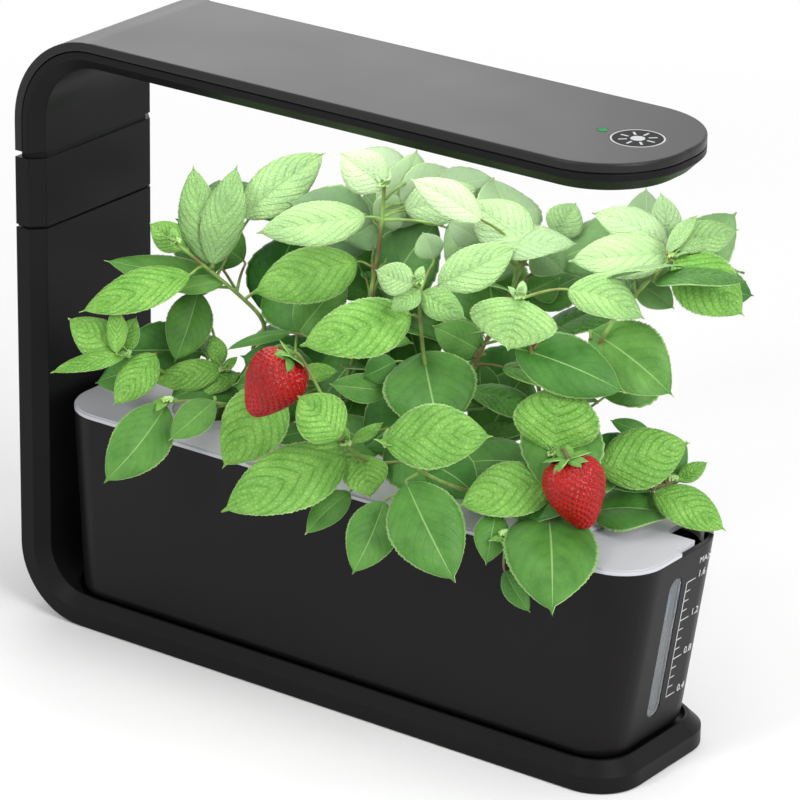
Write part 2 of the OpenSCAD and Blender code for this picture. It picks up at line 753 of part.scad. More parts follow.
// Net cup that hangs in a planting hole by its flange
module net_cup(i) {
    z0 = deck_z - pod_depth;
    color("#c9c9cc") translate([pod_x(i), 0, 0]) difference() {
        rotate_extrude() polygon([
            [0, z0], [cup_low_r, z0], [cup_r, deck_z], [cup_flange_r, deck_z],
            [cup_flange_r, deck_z + cup_flange_t], [cup_r - cup_t, deck_z + cup_flange_t],
            [cup_low_r - cup_t, z0 + cup_t], [0, z0 + cup_t]]);
        for (a = [0:45:315]) rotate([0, 0, a]) translate([0, -1.4, z0 + 5])
            cube([cup_r + 5, 2.8, pod_depth - 16]);
        for (a = [0:90:270]) rotate([0, 0, a]) translate([3, -1.2, z0 - 1]) cube([5, 2.4, 4]);
    }
}

// Foam plug that the roots grow in
module sponge(i) {
    z0 = deck_z - pod_depth + cup_t;
    color("#4a4038") translate([pod_x(i), 0, 0]) difference() {
        translate([0, 0, z0]) cylinder(r1 = sponge_low_r - 1.2, r2 = sponge_r - 1.2, h = sponge_h);
        translate([0, 0, z0 + sponge_h - stem_hole_h]) cylinder(r = stem_hole_r, h = 20);
    }
}

module net_cup_1() { net_cup(0); }
module net_cup_2() { net_cup(1); }
module net_cup_3() { net_cup(2); }
module net_cup_4() { net_cup(3); }
module sponge_1() { sponge(0); }
module sponge_2() { sponge(1); }
module sponge_3() { sponge(2); }
module sponge_4() { sponge(3); }

// --- Plants ---

// Leaves and stems of the four plants, drawn for a pod pitch of 66
// One row a leaf: foot of its stalk, base, tip (each x, y, z from the pod at the deck), width, turn
leaf_rows = [
    [
        [4, -7, 74, 5, -5, 76, -15, 5, 117, 19, -24],
        [4, -7, 74, 6, -7, 76, 3, 15, 119, 19, 24],
        [4, -7, 74, 8, 13, 94, 28, 50, 121, 23, 47],
        [2, -9, 76, 1, -18, 73, -31, -59, 59, 20, -43],
        [11, -1, 65, 4, 3, 65, -45, -24, 71, 17, -45],
        [9, -2, 67, 9, -2, 67, -8, -19, 63, 9, -44],
        [-2, -14, 82, -8, -10, 83, -24, -16, 92, 14, -61],
        [11, -1, 65, -8, -0, 57, -8, -18, 27, 21, -32],
        [-14, -46, 39, -14, -46, 39, -42, -54, 53, 19, -51],
        [-14, -46, 39, -13, -48, 39, -35, -75, 33, 10, -34],
        [-14, -46, 39, -15, -52, 41, -22, -45, 61, 9, -10],
        [-14, -46, 39, -16, -46, 40, -15, -37, 54, 11, 36],
        [-11, -38, 34, -4, -37, 38, -11, -59, 19, 17, -41],
        [12, -6, 24, 11, -6, 26, -13, -30, 20, 15, -44],
        [14, 4, 18, 17, -2, 23, 2, -22, 16, 11, -42],
        [12, -6, 23, 9, -5, 26, 2, -2, 40, 9, -31],
        [12, -6, 24, -13, 8, 51, -54, 24, 53, 26, 15],
        [20, 6, 26, 15, 13, 32, 30, 45, 42, 23, -17],
        [8, -2, 68, -5, 2, 66, -35, 20, 74, 23, 7],
        [5, -6, 72, -15, 27, 87, -44, 62, 87, 27, -11],
        [14, 1, 63, -22, 26, 64, -51, 53, 45, 29, 14],
        [5, -3, 16, -3, 4, 25, -38, 28, 22, 25, 20],
        [6, -4, 70, 6, 24, 93, 9, 57, 85, 20, 21],
    ],
    [
        [18, 19, 108, 13, 12, 111, -23, -22, 105, 22, -45],
        [16, 17, 84, 8, 13, 87, -24, -24, 76, 28, -43],
        [-5, -17, 30, -18, 3, 49, -7, 26, 75, 21, 54],
        [9, 10, 41, -18, -3, 52, -35, -29, 47, 7, -23],
        [-9, -24, 35, -9, -25, 35, -15, -57, 2, 29, -36],
        [-49, -54, 26, -50, -54, 24, -60, -87, -6, 26, -40],
        [-28, -46, 30, -27, -48, 30, -35, -71, 16, 16, -35],
        [19, 18, 124, 19, 19, 124, -2, 12, 138, 20, -60],
        [18, 19, 110, 23, 29, 111, 47, 54, 121, 21, 54],
        [17, 19, 104, 8, 27, 102, -1, 16, 94, 19, -61],
        [17, 19, 102, 9, 25, 104, 19, 37, 113, 16, 61],
        [2, 3, 12, -1, 25, 16, -1, 17, 6, 19, -26],
        [-8, -22, 33, 2, -20, 43, 15, -10, 43, 9, 45],
        [-1, -4, 10, 4, -13, 11, -10, -27, 8, 11, -44],
        [9, 10, 41, 1, 13, 45, 10, 47, 36, 23, -17],
        [12, 13, 50, 8, 0, 54, 39, 15, 55, 22, 19],
        [14, 15, 73, 8, 21, 77, 14, 61, 52, 29, 10],
        [6, 6, 27, 22, 41, 28, 41, 73, 16, 23, 6],
        [12, 13, 54, 17, 40, 56, 11, 68, 37, 20, 19],
        [12, 13, 54, 12, 22, 54, 37, 45, 41, 21, -17],
        [13, 14, 62, 28, 40, 66, 53, 55, 47, 20, -5],
        [8, 9, 36, 8, 3, 40, 37, 25, 24, 25, -22],
    ],
    [
        [0, -18, 84, -3, -21, 85, -36, -59, 74, 28, -44],
        [22, 31, 100, 27, 28, 109, -3, 22, 127, 24, -48],
        [23, 32, 104, 11, 12, 123, -21, 2, 139, 16, -51],
        [23, 32, 104, 22, 56, 105, 25, 67, 120, 17, 44],
        [22, 31, 100, 18, 43, 101, 34, 46, 94, 19, 39],
        [20, 31, 96, 0, 27, 106, -15, 23, 113, 14, -51],
        [1, -21, 99, 1, -25, 101, -15, -32, 107, 15, -53],
        [1, -20, 94, 1, -18, 96, 22, -14, 87, 15, 40],
        [1, -20, 94, 3, -9, 97, 25, 20, 112, 20, 52],
        [1, -21, 97, 1, -21, 98, -4, -35, 90, 11, -36],
        [-1, -15, 68, -4, -10, 63, 16, -23, 31, 41, 17],
        [5, 20, 54, 5, 25, 54, -18, 17, 64, 18, -52],
        [12, 28, 77, 14, 47, 79, 22, 60, 85, 17, 41],
        [0, -20, 92, -14, 11, 99, -21, 12, 110, 13, -41],
        [0, 8, 29, 9, 21, 30, -0, 30, 48, 17, -8],
        [-0, -12, 56, -14, -17, 59, -23, -29, 53, 14, -52],
        [1, -9, 44, -13, -22, 47, -36, -37, 48, 14, -45],
        [-10, -59, 33, -9, -65, 38, -31, -67, 54, 23, -46],
        [-7, -50, 23, -15, -52, 24, -48, -100, 4, 31, -42],
        [-7, -48, 22, -12, -47, 24, -1, -53, 7, 20, 20],
        [-10, -59, 33, -8, -57, 35, -0, -45, 42, 6, 50],
        [-10, -59, 33, -11, -61, 36, -18, -70, 33, 5, -43],
        [-6, -44, 20, -12, -53, 8, -21, -74, -9, 13, -45],
        [2, 13, 41, 12, 5, 44, 41, 20, 32, 22, 13],
        [0, -19, 89, 5, 9, 95, 20, 35, 78, 19, -7],
        [6, 23, 60, 27, 43, 62, 44, 78, 71, 26, 2],
        [0, 4, 16, 11, 19, 16, 22, 57, 17, 24, -5],
        [9, 27, 70, 24, 29, 72, 54, 49, 56, 26, -10],
        [4, 18, 51, 18, 22, 51, 53, 48, 35, 28, -0],
        [23, 32, 104, 15, 20, 109, 46, 38, 113, 21, 23],
    ],
    [
        [31, 36, 119, 26, 41, 118, -8, 12, 115, 22, -45],
        [29, 35, 116, 22, 46, 117, -11, 34, 131, 18, -52],
        [27, 33, 113, 18, 53, 115, 9, 59, 137, 14, -16],
        [30, 35, 117, 30, 33, 122, 35, 49, 135, 7, 42],
        [-43, -72, 45, -43, -75, 48, -6, -46, 51, 28, 55],
        [-13, -18, 104, -13, -18, 105, -9, -32, 85, 37, -16],
        [-9, -12, 77, -17, -14, 79, 29, 5, 63, 27, 53],
        [3, 15, 79, 1, 19, 82, 40, 27, 58, 32, 48],
        [-13, -18, 104, 3, -4, 109, 36, 7, 99, 20, 43],
        [19, 26, 101, 14, 34, 104, 33, 36, 95, 15, 38],
        [29, 35, 116, 33, 34, 117, 66, 41, 97, 27, 49],
        [31, 36, 119, 30, 40, 123, 49, 61, 129, 16, 44],
        [31, 36, 119, 32, 37, 122, 44, 49, 124, 7, 45],
        [7, -18, 36, 7, -18, 37, 3, -5, 66, 37, 17],
        [17, 7, 9, 21, -1, 27, 49, 28, 38, 27, 53],
        [10, -20, 24, 11, -22, 25, -19, -53, 17, 26, -44],
        [2, -21, 10, 7, -21, 11, 49, -78, -8, 40, 0],
        [11, 5, 7, 17, -1, 6, 48, 18, 5, 33, 15],
        [36, 20, 14, 40, 14, 16, 73, 22, 3, 19, 41],
        [39, 31, 16, 40, 33, 15, 48, 45, 23, 8, 50],
        [33, 18, 13, 26, 31, 9, 35, 48, 28, 15, 53],
        [38, 27, 15, 29, 25, 38, 13, 18, 43, 8, -54],
        [3, -48, 7, 2, -46, -11, 16, -46, -28, 10, 48],
        [3, -34, 11, -7, -41, 13, -2, -55, -7, 15, -15],
        [-36, -50, 22, -54, -60, 11, -54, -83, -15, 22, -28],
        [-38, -57, 29, -42, -60, 24, -9, -68, -13, 33, 32],
        [-9, -12, 81, -7, -3, 86, -34, -25, 85, 21, 20],
        [15, 23, 96, 9, 27, 99, 13, 68, 102, 23, 13],
        [2, 11, 61, 2, 8, 62, 11, 51, 61, 29, 13],
        [12, 21, 91, 15, 7, 112, 44, 26, 120, 21, -21],
        [20, 27, 103, 18, 45, 104, 39, 84, 98, 30, -6],
        [26, 32, 111, 36, 14, 114, 72, 31, 117, 24, -0],
    ],
];
// One row a stem: x, y, z of its joints above the cup
stem_rows = [
    [
        [[0, 0, 3], [34, 10, 42], [20, 3, 58], [8, -2, 68], [-6, -19, 88]],
        [[0, 0, 3], [-6, -9, 14], [-10, -33, 30], [-14, -46, 39]],
        [[0, 0, 3], [4, -3, 15], [12, -6, 24]],
    ],
    [
        [[0, 0, 3], [12, 13, 50], [16, 17, 88], [18, 19, 108], [19, 18, 124]],
        [[0, 0, 3], [-4, -13, 27], [-9, -24, 35]],
        [[0, 0, 3], [-11, -19, 15], [-28, -46, 30], [-49, -54, 26]],
    ],
    [
        [[0, 0, 3], [1, -9, 41], [-1, -15, 66], [0, -18, 84], [1, -22, 101]],
        [[0, 0, 3], [0, 10, 35], [8, 26, 66], [23, 32, 104]],
        [[0, 0, 3], [-3, -24, 11], [-7, -48, 22], [-10, -59, 33]],
    ],
    [
        [[0, 0, 3], [-0, 6, 33], [3, 15, 79], [20, 27, 103], [31, 36, 119]],
        [[0, 0, 3], [8, -14, 9], [10, -20, 26], [7, -18, 36]],
        [[0, 0, 3], [19, 8, 10], [36, 20, 14], [39, 31, 16]],
        [[0, 0, 3], [-15, -26, 11], [-36, -50, 22], [-43, -72, 45]],
        [[0, 0, 3], [-7, -9, 65], [-13, -18, 104]],
        [[0, 0, 3], [3, -30, 13], [3, -48, 7]],
    ],
];

// Fruit: place of its middle from the pod at the deck, lean, foot of its stalk
berry_left = [[-50.5, -60.9, 51.6], -28, [-10, -59, 30], 2];
berry_right = [[28.1, -29.8, 26.8], 12, [7, -18, 33], 3];
berry_axis = [0.543, -0.756, 0.365];
berry_up = 16.5;
stem_r = 1.5;
stalk_r = 0.8;
leaf_thick = 1;
leaf_n = 3;
spread = pod_pitch / 66;
root_z = pod_depth - cup_t - sponge_h + stem_hole_h - 0.3 - stem_r;

// Place in the frame of a point of plant i
function place(i, p) = [pod_x(i) + p[0] * spread, p[1] * spread, deck_z + p[2]];
function unit(v) = v / norm(v);

// Half width of a leaf at the share t of its length
function leaf_half(w, t) = max(0.6, 0.5 * w * pow(max(0, sin(180 * pow(t, 0.72))), 0.85));

// Closed thin leaf from base b to tip e: three points across, leaf_n + 1 along, above and below
module leaf(b, e, w, turn) {
    a = unit(e - b);
    flat = unit(cross([0, 0, 1], a));
    side = flat * cos(turn) + cross(a, flat) * sin(turn);
    up = cross(a, side);
    n = leaf_n;
    pts = [for (k = [0:n], d = [0.5, -0.5], u = [-1:1])
        b + (e - b) * (k / n) + side * (u * leaf_half(w, k / n))
        + up * (d * leaf_thick + abs(u) * 0.12 * (leaf_half(w, k / n) - 0.6))];
    faces = concat(
        [for (k = [0:n - 1], j = [0:1]) each let(p = 6 * k + j, q = p + 6)
            [[p, p + 1, q + 1], [p, q + 1, q], [p + 3, q + 4, p + 4], [p + 3, q + 3, q + 4]]],
        [for (k = [0:n - 1]) each let(p = 6 * k, q = p + 6)
            [[p, q, q + 3], [p, q + 3, p + 3], [q + 2, p + 2, p + 5], [q + 2, p + 5, q + 5]]],
        [[1, 0, 3], [1, 3, 4], [2, 1, 4], [2, 4, 5]],
        [[6 * n, 6 * n + 1, 6 * n + 4], [6 * n, 6 * n + 4, 6 * n + 3],
         [6 * n + 1, 6 * n + 2, 6 * n + 5], [6 * n + 1, 6 * n + 5, 6 * n + 4]]);
    polyhedron(pts, faces, convexity = 4);
}

// Twig between two points
module twig(a, b, ra, rb) {
    hull() {
        translate(a) sphere(ra, $fn = 3);
        translate(b) sphere(rb, $fn = 3);
    }
}

module plant(i) {
    root = [pod_x(i), 0, deck_z - root_z];
    collar = [pod_x(i), 0, deck_z + 3];
    color("#4f9a35") union() {
        twig(root, collar, stem_r, stem_r);
        for (s = stem_rows[i], k = [1:len(s) - 1])
            twig(place(i, s[k - 1]), place(i, s[k]), stem_r, stem_r);
        for (r = leaf_rows[i]) {
            foot = place(i, [r[0], r[1], r[2]]);
            base = place(i, [r[3], r[4], r[5]]);
            tip = base + (place(i, [r[6], r[7], r[8]]) - base) * leaf_size;
            inner = base + (tip - base) * 0.04;
            if (norm(foot - base) > 1) twig(foot, inner, stalk_r, stalk_r);
            leaf(base, tip, r[9] * leaf_size, r[10]);
        }
        if (i == berry_left[3]) berry_stalk(berry_left);
        if (i == berry_right[3]) berry_stalk(berry_right);
    }
}

// Stalk with a small flat calyx that the fruit hangs from
module berry_stalk(f) {
    top = place(f[3], f[0]);

    translate(top) rotate(a = f[1], v = berry_axis) {
        translate([0, 0, berry_up]) cylinder(r = 3.5, h = 1.2, $fn = 12);
        twig([0, 0, berry_up + 1], [0, 0, berry_up + 6], stalk_r, stalk_r);
    }
    head = place_turned(top, f[1], berry_up + 6);
    twig(head, place(f[3], f[2]), stalk_r, stalk_r);
}

// Point h above p after a turn by the angle a about berry_axis
function place_turned(p, a, h) = let(k = unit(berry_axis), v = [0, 0, h])
    p + v * cos(a) + cross(k, v) * sin(a) + k * (k * v) * (1 - cos(a));

module plant_1() { plant(0); }
module plant_2() { plant(1); }
module plant_3() { plant(2); }
module plant_4() { plant(3); }

// Fruit with its point down and a flat top
module strawberry(f) {
    color("#c81e22") translate(place(f[3], f[0])) rotate(a = f[1], v = berry_axis)
        rotate_extrude($fn = 48) polygon([
            [0, 16.5], [5, 16.5], [9.4, 15], [12.6, 12], [14.1, 8], [14.4, 4], [13.6, -1],
            [11.4, -6.5], [8.4, -11.5], [5.2, -14.8], [2.4, -16.2], [0, -16.5]]);
}

module strawberry_left() { strawberry(berry_left); }
module strawberry_right() { strawberry(berry_right); }

base_frame();
base_cover();
rubber_feet();
base_screws();
dc_jack();
post_lead();
post_socket();
segment_shell();
segment_plug();
segment_socket();
segment_lead();
lamp_shell();
lamp_cover();
lamp_plug();
lamp_lead();
diffuser();
led_board();
leds();
control_board();
key_spring();
key_symbol();
indicator_lens();
cover_screws();
tank();
gauge_window();
window_seal();
float_guide();
gauge_float();
deck();
net_cup_1();
net_cup_2();
net_cup_3();
net_cup_4();
sponge_1();
sponge_2();
sponge_3();
sponge_4();
plant_1();
plant_2();
plant_3();
plant_4();
strawberry_left();
strawberry_right();
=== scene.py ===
import bpy, bmesh, math, random
from mathutils import Matrix, Vector
from mathutils.kdtree import KDTree


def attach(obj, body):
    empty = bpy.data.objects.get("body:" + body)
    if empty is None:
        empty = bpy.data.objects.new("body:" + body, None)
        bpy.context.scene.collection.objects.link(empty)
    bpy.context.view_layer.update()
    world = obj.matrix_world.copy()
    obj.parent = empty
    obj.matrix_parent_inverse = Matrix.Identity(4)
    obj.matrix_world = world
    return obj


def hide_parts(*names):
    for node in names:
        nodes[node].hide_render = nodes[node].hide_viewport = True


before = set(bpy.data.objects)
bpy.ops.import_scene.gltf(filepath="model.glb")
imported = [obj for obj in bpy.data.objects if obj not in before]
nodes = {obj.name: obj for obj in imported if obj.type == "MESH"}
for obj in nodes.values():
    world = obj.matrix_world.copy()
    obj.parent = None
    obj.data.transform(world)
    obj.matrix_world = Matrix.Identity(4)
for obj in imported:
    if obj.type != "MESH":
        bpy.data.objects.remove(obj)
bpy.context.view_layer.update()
mm = 0.001
rng = random.Random(11)
print("frame loaded,", len(nodes), "nodes")


def toLinear(hexCode):
    out = []
    for k in (1, 3, 5):
        c = int(hexCode[k:k + 2], 16) / 255
        out.append(c / 12.92 if c <= 0.04045 else ((c + 0.055) / 1.055) ** 2.4)
    return (*out, 1.0)


# A node with its settings and links. "stops" fills a colour ramp, and a node in the links
# stands for its first output
def addNode(tree, kind, settings=None, links=None):
    node = tree.nodes.new("ShaderNode" + kind)
    for key, value in (settings or {}).items():
        if key == "stops":
            ramp = node.color_ramp.elements
            while len(ramp) < len(value):
                ramp.new(0.5)
            for element, (place, hexCode) in zip(ramp, value):
                element.position, element.color = place, toLinear(hexCode)
        elif isinstance(key, int) or key in node.inputs:
            node.inputs[key].default_value = value
        else:
            setattr(node, key, value)
    for key, source in (links or {}).items():
        tree.links.new(getattr(source, "outputs", [source])[0], node.inputs[key])
    return node


def newMaterial(name, roughness=0.5, ior=1.5):
    material = bpy.data.materials.new(name)
    material.use_nodes = True
    tree = material.node_tree
    shader = tree.nodes["Principled BSDF"]
    shader.inputs["Roughness"].default_value = roughness
    shader.inputs["IOR"].default_value = ior
    return material, tree, shader


def finishPiece(bm, name, material, body):
    mesh = bpy.data.meshes.new(name)
    bm.to_mesh(mesh)
    bm.free()
    mesh.shade_smooth()
    piece = bpy.data.objects.new(name, mesh)
    bpy.context.scene.collection.objects.link(piece)
    mesh.materials.append(material)
    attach(piece, body)
    return piece


# Moulded plastics. A fine spark-eroded grain breaks up the gloss, a slow wave in the roughness
# shows where hands have wiped the surface, and outer edges are a little rounded.
def mouldedPlastic(name, dark, light, roughness, grainMm, grainDepth, mirror=0.5, edgeMm=0.0):
    material, tree, shader = newMaterial(name, roughness, 1.52)
    shader.inputs["Specular IOR Level"].default_value = mirror
    place = addNode(tree, "TexCoord").outputs["Object"]
    cloud = addNode(tree, "TexNoise", {"Scale": 1 / (60 * mm), "Detail": 2.0}, {"Vector": place})
    tone = addNode(tree, "ValToRGB", {"stops": [(0.3, dark), (0.7, light)]}, {"Fac": cloud})
    tree.links.new(tone.outputs[0], shader.inputs["Base Color"])
    worn = addNode(tree, "MapRange", {"From Min": 0.3, "From Max": 0.7, "To Min": roughness - 0.015,
                   "To Max": roughness + 0.02}, {"Value": cloud})
    tree.links.new(worn.outputs[0], shader.inputs["Roughness"])
    grain = addNode(tree, "TexNoise", {"Scale": 1 / (grainMm * mm), "Detail": 2.0}, {"Vector": place})
    bump = addNode(tree, "Bump", {"Strength": grainDepth, "Distance": 0.05 * mm}, {"Height": grain})
    if edgeMm:
        edge = addNode(tree, "Bevel", {"samples": 4, "Radius": edgeMm * mm})
        tree.links.new(edge.outputs[0], bump.inputs["Normal"])
    tree.links.new(bump.outputs[0], shader.inputs["Normal"])
    return material


# name: dark tone, light tone, roughness, grain in mm (drawn coarser than the real 0.1 mm), depth,
# share of the mirror-like gloss, rounding of the edges in mm
plastics = {
    "satinAbsFrame": ("#0e0e0f", "#111112", 0.4, 0.5, 0.25, 0.12, 1.0),
    "satinAbsCover": ("#151516", "#191919", 0.34, 0.4, 0.15, 0.26, 1.3),
    "mattAbsBase": ("#131314", "#171718", 0.6, 0.6, 0.4, 0.2),
    "satinTankPolypropylene": ("#121011", "#151314", 0.36, 0.6, 0.2, 0.13, 0.6),
    "mattBlackInlet": ("#121213", "#171718", 0.5, 0.4, 0.3, 0.25),
    "greyGuide": ("#454c51", "#535a60", 0.55, 0.5, 0.3, 0.4),
    "greyDeckAbs": ("#b4b4ba", "#bebec4", 0.4, 0.5, 0.15, 0.5, 0.5),
    "greyCupPolypropylene": ("#b0b0b5", "#bababf", 0.5, 0.5, 0.2),
    "ivoryNylonConnector": ("#d9d5c6", "#e2dfd2", 0.45, 0.4, 0.2),
    "pvcLead": ("#1d1d1f", "#242426", 0.55, 0.4, 0.2),
    "whiteSolderMask": ("#dfe2e4", "#e8eaec", 0.35, 0.4, 0.1),
    "greenSolderMask": ("#1f5f38", "#2a7446", 0.3, 0.4, 0.1),
    "ledPhosphorGel": ("#e6c54e", "#f0d566", 0.3, 0.3, 0.1),
    "whitePadPrint": ("#bfc0c2", "#cbccce", 0.6, 0.3, 0.1, 0.3),
    "mouldedFloatFoam": ("#1877a6", "#238fc0", 0.35, 0.4, 0.2),
    "siliconeSeal": ("#bdbdb8", "#c8c8c3", 0.45, 0.4, 0.2),
    "naturalRubberFoot": ("#101010", "#161616", 0.8, 0.6, 0.6),
}
finish = {name: mouldedPlastic(name, *values) for name, values in plastics.items()}


def sheetMetal(name, dark, light, roughness):
    material, tree, shader = newMaterial(name, roughness)
    shader.inputs["Metallic"].default_value = 1.0
    place = addNode(tree, "TexCoord").outputs["Object"]
    stretched = addNode(tree, "Mapping", {"Scale": (1.0, 1.0, 0.1)}, {"Vector": place})
    lines = addNode(tree, "TexNoise", {"Scale": 1 / (0.3 * mm)}, {"Vector": stretched.outputs["Vector"]})
    tone = addNode(tree, "ValToRGB", {"stops": [(0.3, dark), (0.7, light)]}, {"Fac": lines})
    tree.links.new(tone.outputs[0], shader.inputs["Base Color"])
    return material


finish["zincPlatedSteel"] = sheetMetal("zincPlatedSteel", "#a9abad", "#c3c5c7", 0.35)  # turned, zinc plated
finish["springBrass"] = sheetMetal("springBrass", "#c9a452", "#dcb968", 0.3)


# Open-cell growing foam: brown and matt, with pores of about 1 mm
def growingFoam():
    material, tree, shader = newMaterial("openCellFoam", 0.95)
    place = addNode(tree, "TexCoord").outputs["Object"]
    pores = addNode(tree, "TexVoronoi", {"Scale": 1 / (1.1 * mm)}, {"Vector": place})
    tone = addNode(tree, "ValToRGB", {"stops": [(0.1, "#1c140e"), (0.6, "#4b3a2c")]}, {"Fac": pores})
    tree.links.new(tone.outputs[0], shader.inputs["Base Color"])
    bump = addNode(tree, "Bump", {"Strength": 0.9, "Distance": 0.4 * mm}, {"Height": pores})
    tree.links.new(bump.outputs["Normal"], shader.inputs["Normal"])
    return material


finish["openCellFoam"] = growingFoam()


# The film inside the window is full up to wetTo and thins to its dry share at dryFrom (metres);
# its droplets and patches are in mm
gaugeFilm = {"wetTo": 0.07, "dryFrom": 0.082, "dryShare": 0.25, "droplet": 1.6, "patch": 5}


# Clear polycarbonate, injection moulded, with scale and droplets on the inside below the float
def clearPlastic():
    film = gaugeFilm
    material, tree, shader = newMaterial("clearPolycarbonate", 0.05, 1.58)
    shader.inputs["Specular IOR Level"].default_value = 0.1
    shader.inputs["Base Color"].default_value = toLinear("#cfd8dd")
    place = addNode(tree, "TexCoord").outputs["Object"]
    drops = addNode(tree, "TexVoronoi", {"Scale": 1 / (film["droplet"] * mm), "feature": "SMOOTH_F1"},
                    {"Vector": place})
    haze = addNode(tree, "TexNoise", {"Scale": 1 / (film["patch"] * mm), "Detail": 4.0}, {"Vector": place})
    height = addNode(tree, "SeparateXYZ", {}, {"Vector": place}).outputs["Z"]
    wet = addNode(tree, "MapRange", {"From Min": film["dryFrom"], "From Max": film["wetTo"],
                  "To Min": film["dryShare"]}, {"Value": height})
    both = addNode(tree, "Math", {"operation": "MULTIPLY"}, {0: drops, 1: haze})
    milky = addNode(tree, "Math", {"operation": "MULTIPLY"}, {0: both, 1: wet})
    clear = addNode(tree, "MapRange", {"From Max": 0.4, "To Min": 1.0, "To Max": 0.92}, {"Value": milky})
    tree.links.new(clear.outputs[0], shader.inputs["Transmission Weight"])
    return material


finish["clearPolycarbonate"] = clearPlastic()


glowStrength = {"diffuser": 3.3, "indicator": 0.3}


# The diffuser is opal acrylic and glows evenly with the row of lamps above it
def litDiffuser():
    material, tree, shader = newMaterial("opalDiffuserAcrylic", 0.4, 1.49)
    place = addNode(tree, "TexCoord").outputs["Object"]
    cloud = addNode(tree, "TexNoise", {"Scale": 1 / (30 * mm)}, {"Vector": place})
    tone = addNode(tree, "ValToRGB", {"stops": [(0.3, "#f2f4ee"), (0.7, "#fbfcf8")]}, {"Fac": cloud})
    tree.links.new(tone.outputs[0], shader.inputs["Base Color"])
    tree.links.new(tone.outputs[0], shader.inputs["Emission Color"])
    shader.inputs["Emission Strength"].default_value = glowStrength["diffuser"]
    return material


finish["opalDiffuserAcrylic"] = litDiffuser()


# The indicator's green lens glows a little
def glowingLens():
    material, tree, shader = newMaterial("greenLens", 0.5, 1.58)
    shader.inputs["Specular IOR Level"].default_value = 0.1
    place = addNode(tree, "TexCoord").outputs["Object"]
    speck = addNode(tree, "TexNoise", {"Scale": 1 / (0.6 * mm)}, {"Vector": place})
    tone = addNode(tree, "ValToRGB", {"stops": [(0.3, "#04602a"), (0.7, "#12904a")]}, {"Fac": speck})
    tree.links.new(tone.outputs[0], shader.inputs["Base Color"])
    tree.links.new(tone.outputs[0], shader.inputs["Emission Color"])
    shader.inputs["Emission Strength"].default_value = glowStrength["indicator"]
    return material


finish["greenLens"] = glowingLens()


lampKey = {"centre": (0.1425, 0.0, 0.2921), "radius": 0.0113, "matt": 0.7}  # lengths in metres


# Inside its printed ring the lamp key is lacquered matt black
def lacquerKey(material, centre, radius, matt):
    tree = material.node_tree
    roughness = tree.nodes["Principled BSDF"].inputs["Roughness"]
    place = addNode(tree, "TexCoord").outputs["Object"]
    away = addNode(tree, "VectorMath", {"operation": "DISTANCE", 1: centre}, {0: place})
    inside = addNode(tree, "Math", {"operation": "LESS_THAN", 1: radius}, {0: away.outputs["Value"]})
    lacquer = addNode(tree, "Math", {"operation": "MULTIPLY", 1: matt}, {0: inside})
    either = addNode(tree, "Math", {"operation": "MAXIMUM"}, {0: lacquer, 1: roughness.links[0].from_socket})
    tree.links.new(either.outputs[0], roughness)


lacquerKey(finish["satinAbsCover"], **lampKey)

# Which finish each carried-over node takes
nodeFinish = {
    "base_frame": "satinAbsFrame", "segment_shell": "satinAbsFrame", "lamp_shell": "satinAbsFrame",
    "lamp_cover": "satinAbsCover", "base_cover": "mattAbsBase", "rubber_feet": "naturalRubberFoot",
    "base_screws": "zincPlatedSteel", "cover_screws": "zincPlatedSteel", "dc_jack": "mattBlackInlet",
    "post_lead": "pvcLead", "segment_lead": "pvcLead", "lamp_lead": "pvcLead",
    "post_socket": "ivoryNylonConnector", "segment_plug": "ivoryNylonConnector",
    "segment_socket": "ivoryNylonConnector", "lamp_plug": "ivoryNylonConnector",
    "diffuser": "opalDiffuserAcrylic", "led_board": "whiteSolderMask", "leds": "ledPhosphorGel",
    "control_board": "greenSolderMask", "key_spring": "springBrass", "key_symbol": "whitePadPrint",
    "indicator_lens": "greenLens", "tank": "satinTankPolypropylene", "gauge_window": "clearPolycarbonate",
    "window_seal": "siliconeSeal", "float_guide": "greyGuide", "gauge_float": "mouldedFloatFoam",
    "deck": "greyDeckAbs",
}
for k in (1, 2, 3, 4):
    nodeFinish[f"net_cup_{k}"] = "greyCupPolypropylene"
    nodeFinish[f"sponge_{k}"] = "openCellFoam"
for node, name in nodeFinish.items():
    nodes[node].data.materials.clear()
    nodes[node].data.materials.append(finish[name])
# The tank comes over in facets: its own loose triangles are welded and shaded as one smooth wall
tankWall = {"weldMm": 0.01, "sharpFrom": 28, "faceWeight": 60}
tank = nodes["tank"]
weld = tank.modifiers.new("weld", "WELD")
weld.merge_threshold = tankWall["weldMm"] * mm
edges = tank.modifiers.new("sharpEdges", "EDGE_SPLIT")
edges.split_angle = math.radians(tankWall["sharpFrom"])
smooth = tank.modifiers.new("smoothWall", "WEIGHTED_NORMAL")
smooth.weight = tankWall["faceWeight"]
print("finishes on", len(nodeFinish), "carried-over nodes")


# ---- gauge marks: a printed ruler and plain numbers on the leaning end wall ----

gaugeMarks = {
    "foot": (161.03, -3.0, 10.8), "lean": 8.41,       # the wall's line, as in the tank
    "lineY": 9.4, "levels": [20.9 + 4.925 * k for k in range(13)],
    "long": 7.0, "short": 4.0, "stroke": 0.5, "raise": 0.06, "inkDepth": 0.05,
    "numbers": ("0.4", "0.8", "1.2", "1.6"), "numberHeight": 5.0, "numberY": 18.2, "numberShift": 1.0,
    "fullHeight": 4.4, "fullY": 17.4, "fullUp": 88.2,  # MAX, above the top line
}


def onWall(y, up, out=0.0):
    a = math.radians(gaugeMarks["lean"])
    x, z = out * math.cos(a) + up * math.sin(a), up * math.cos(a) - out * math.sin(a)
    fx, fy, fz = gaugeMarks["foot"]
    return Vector((fx + x, fy + y, fz + z)) * mm


wallTurn = Matrix.Rotation(math.radians(gaugeMarks["lean"]), 4, "Y")


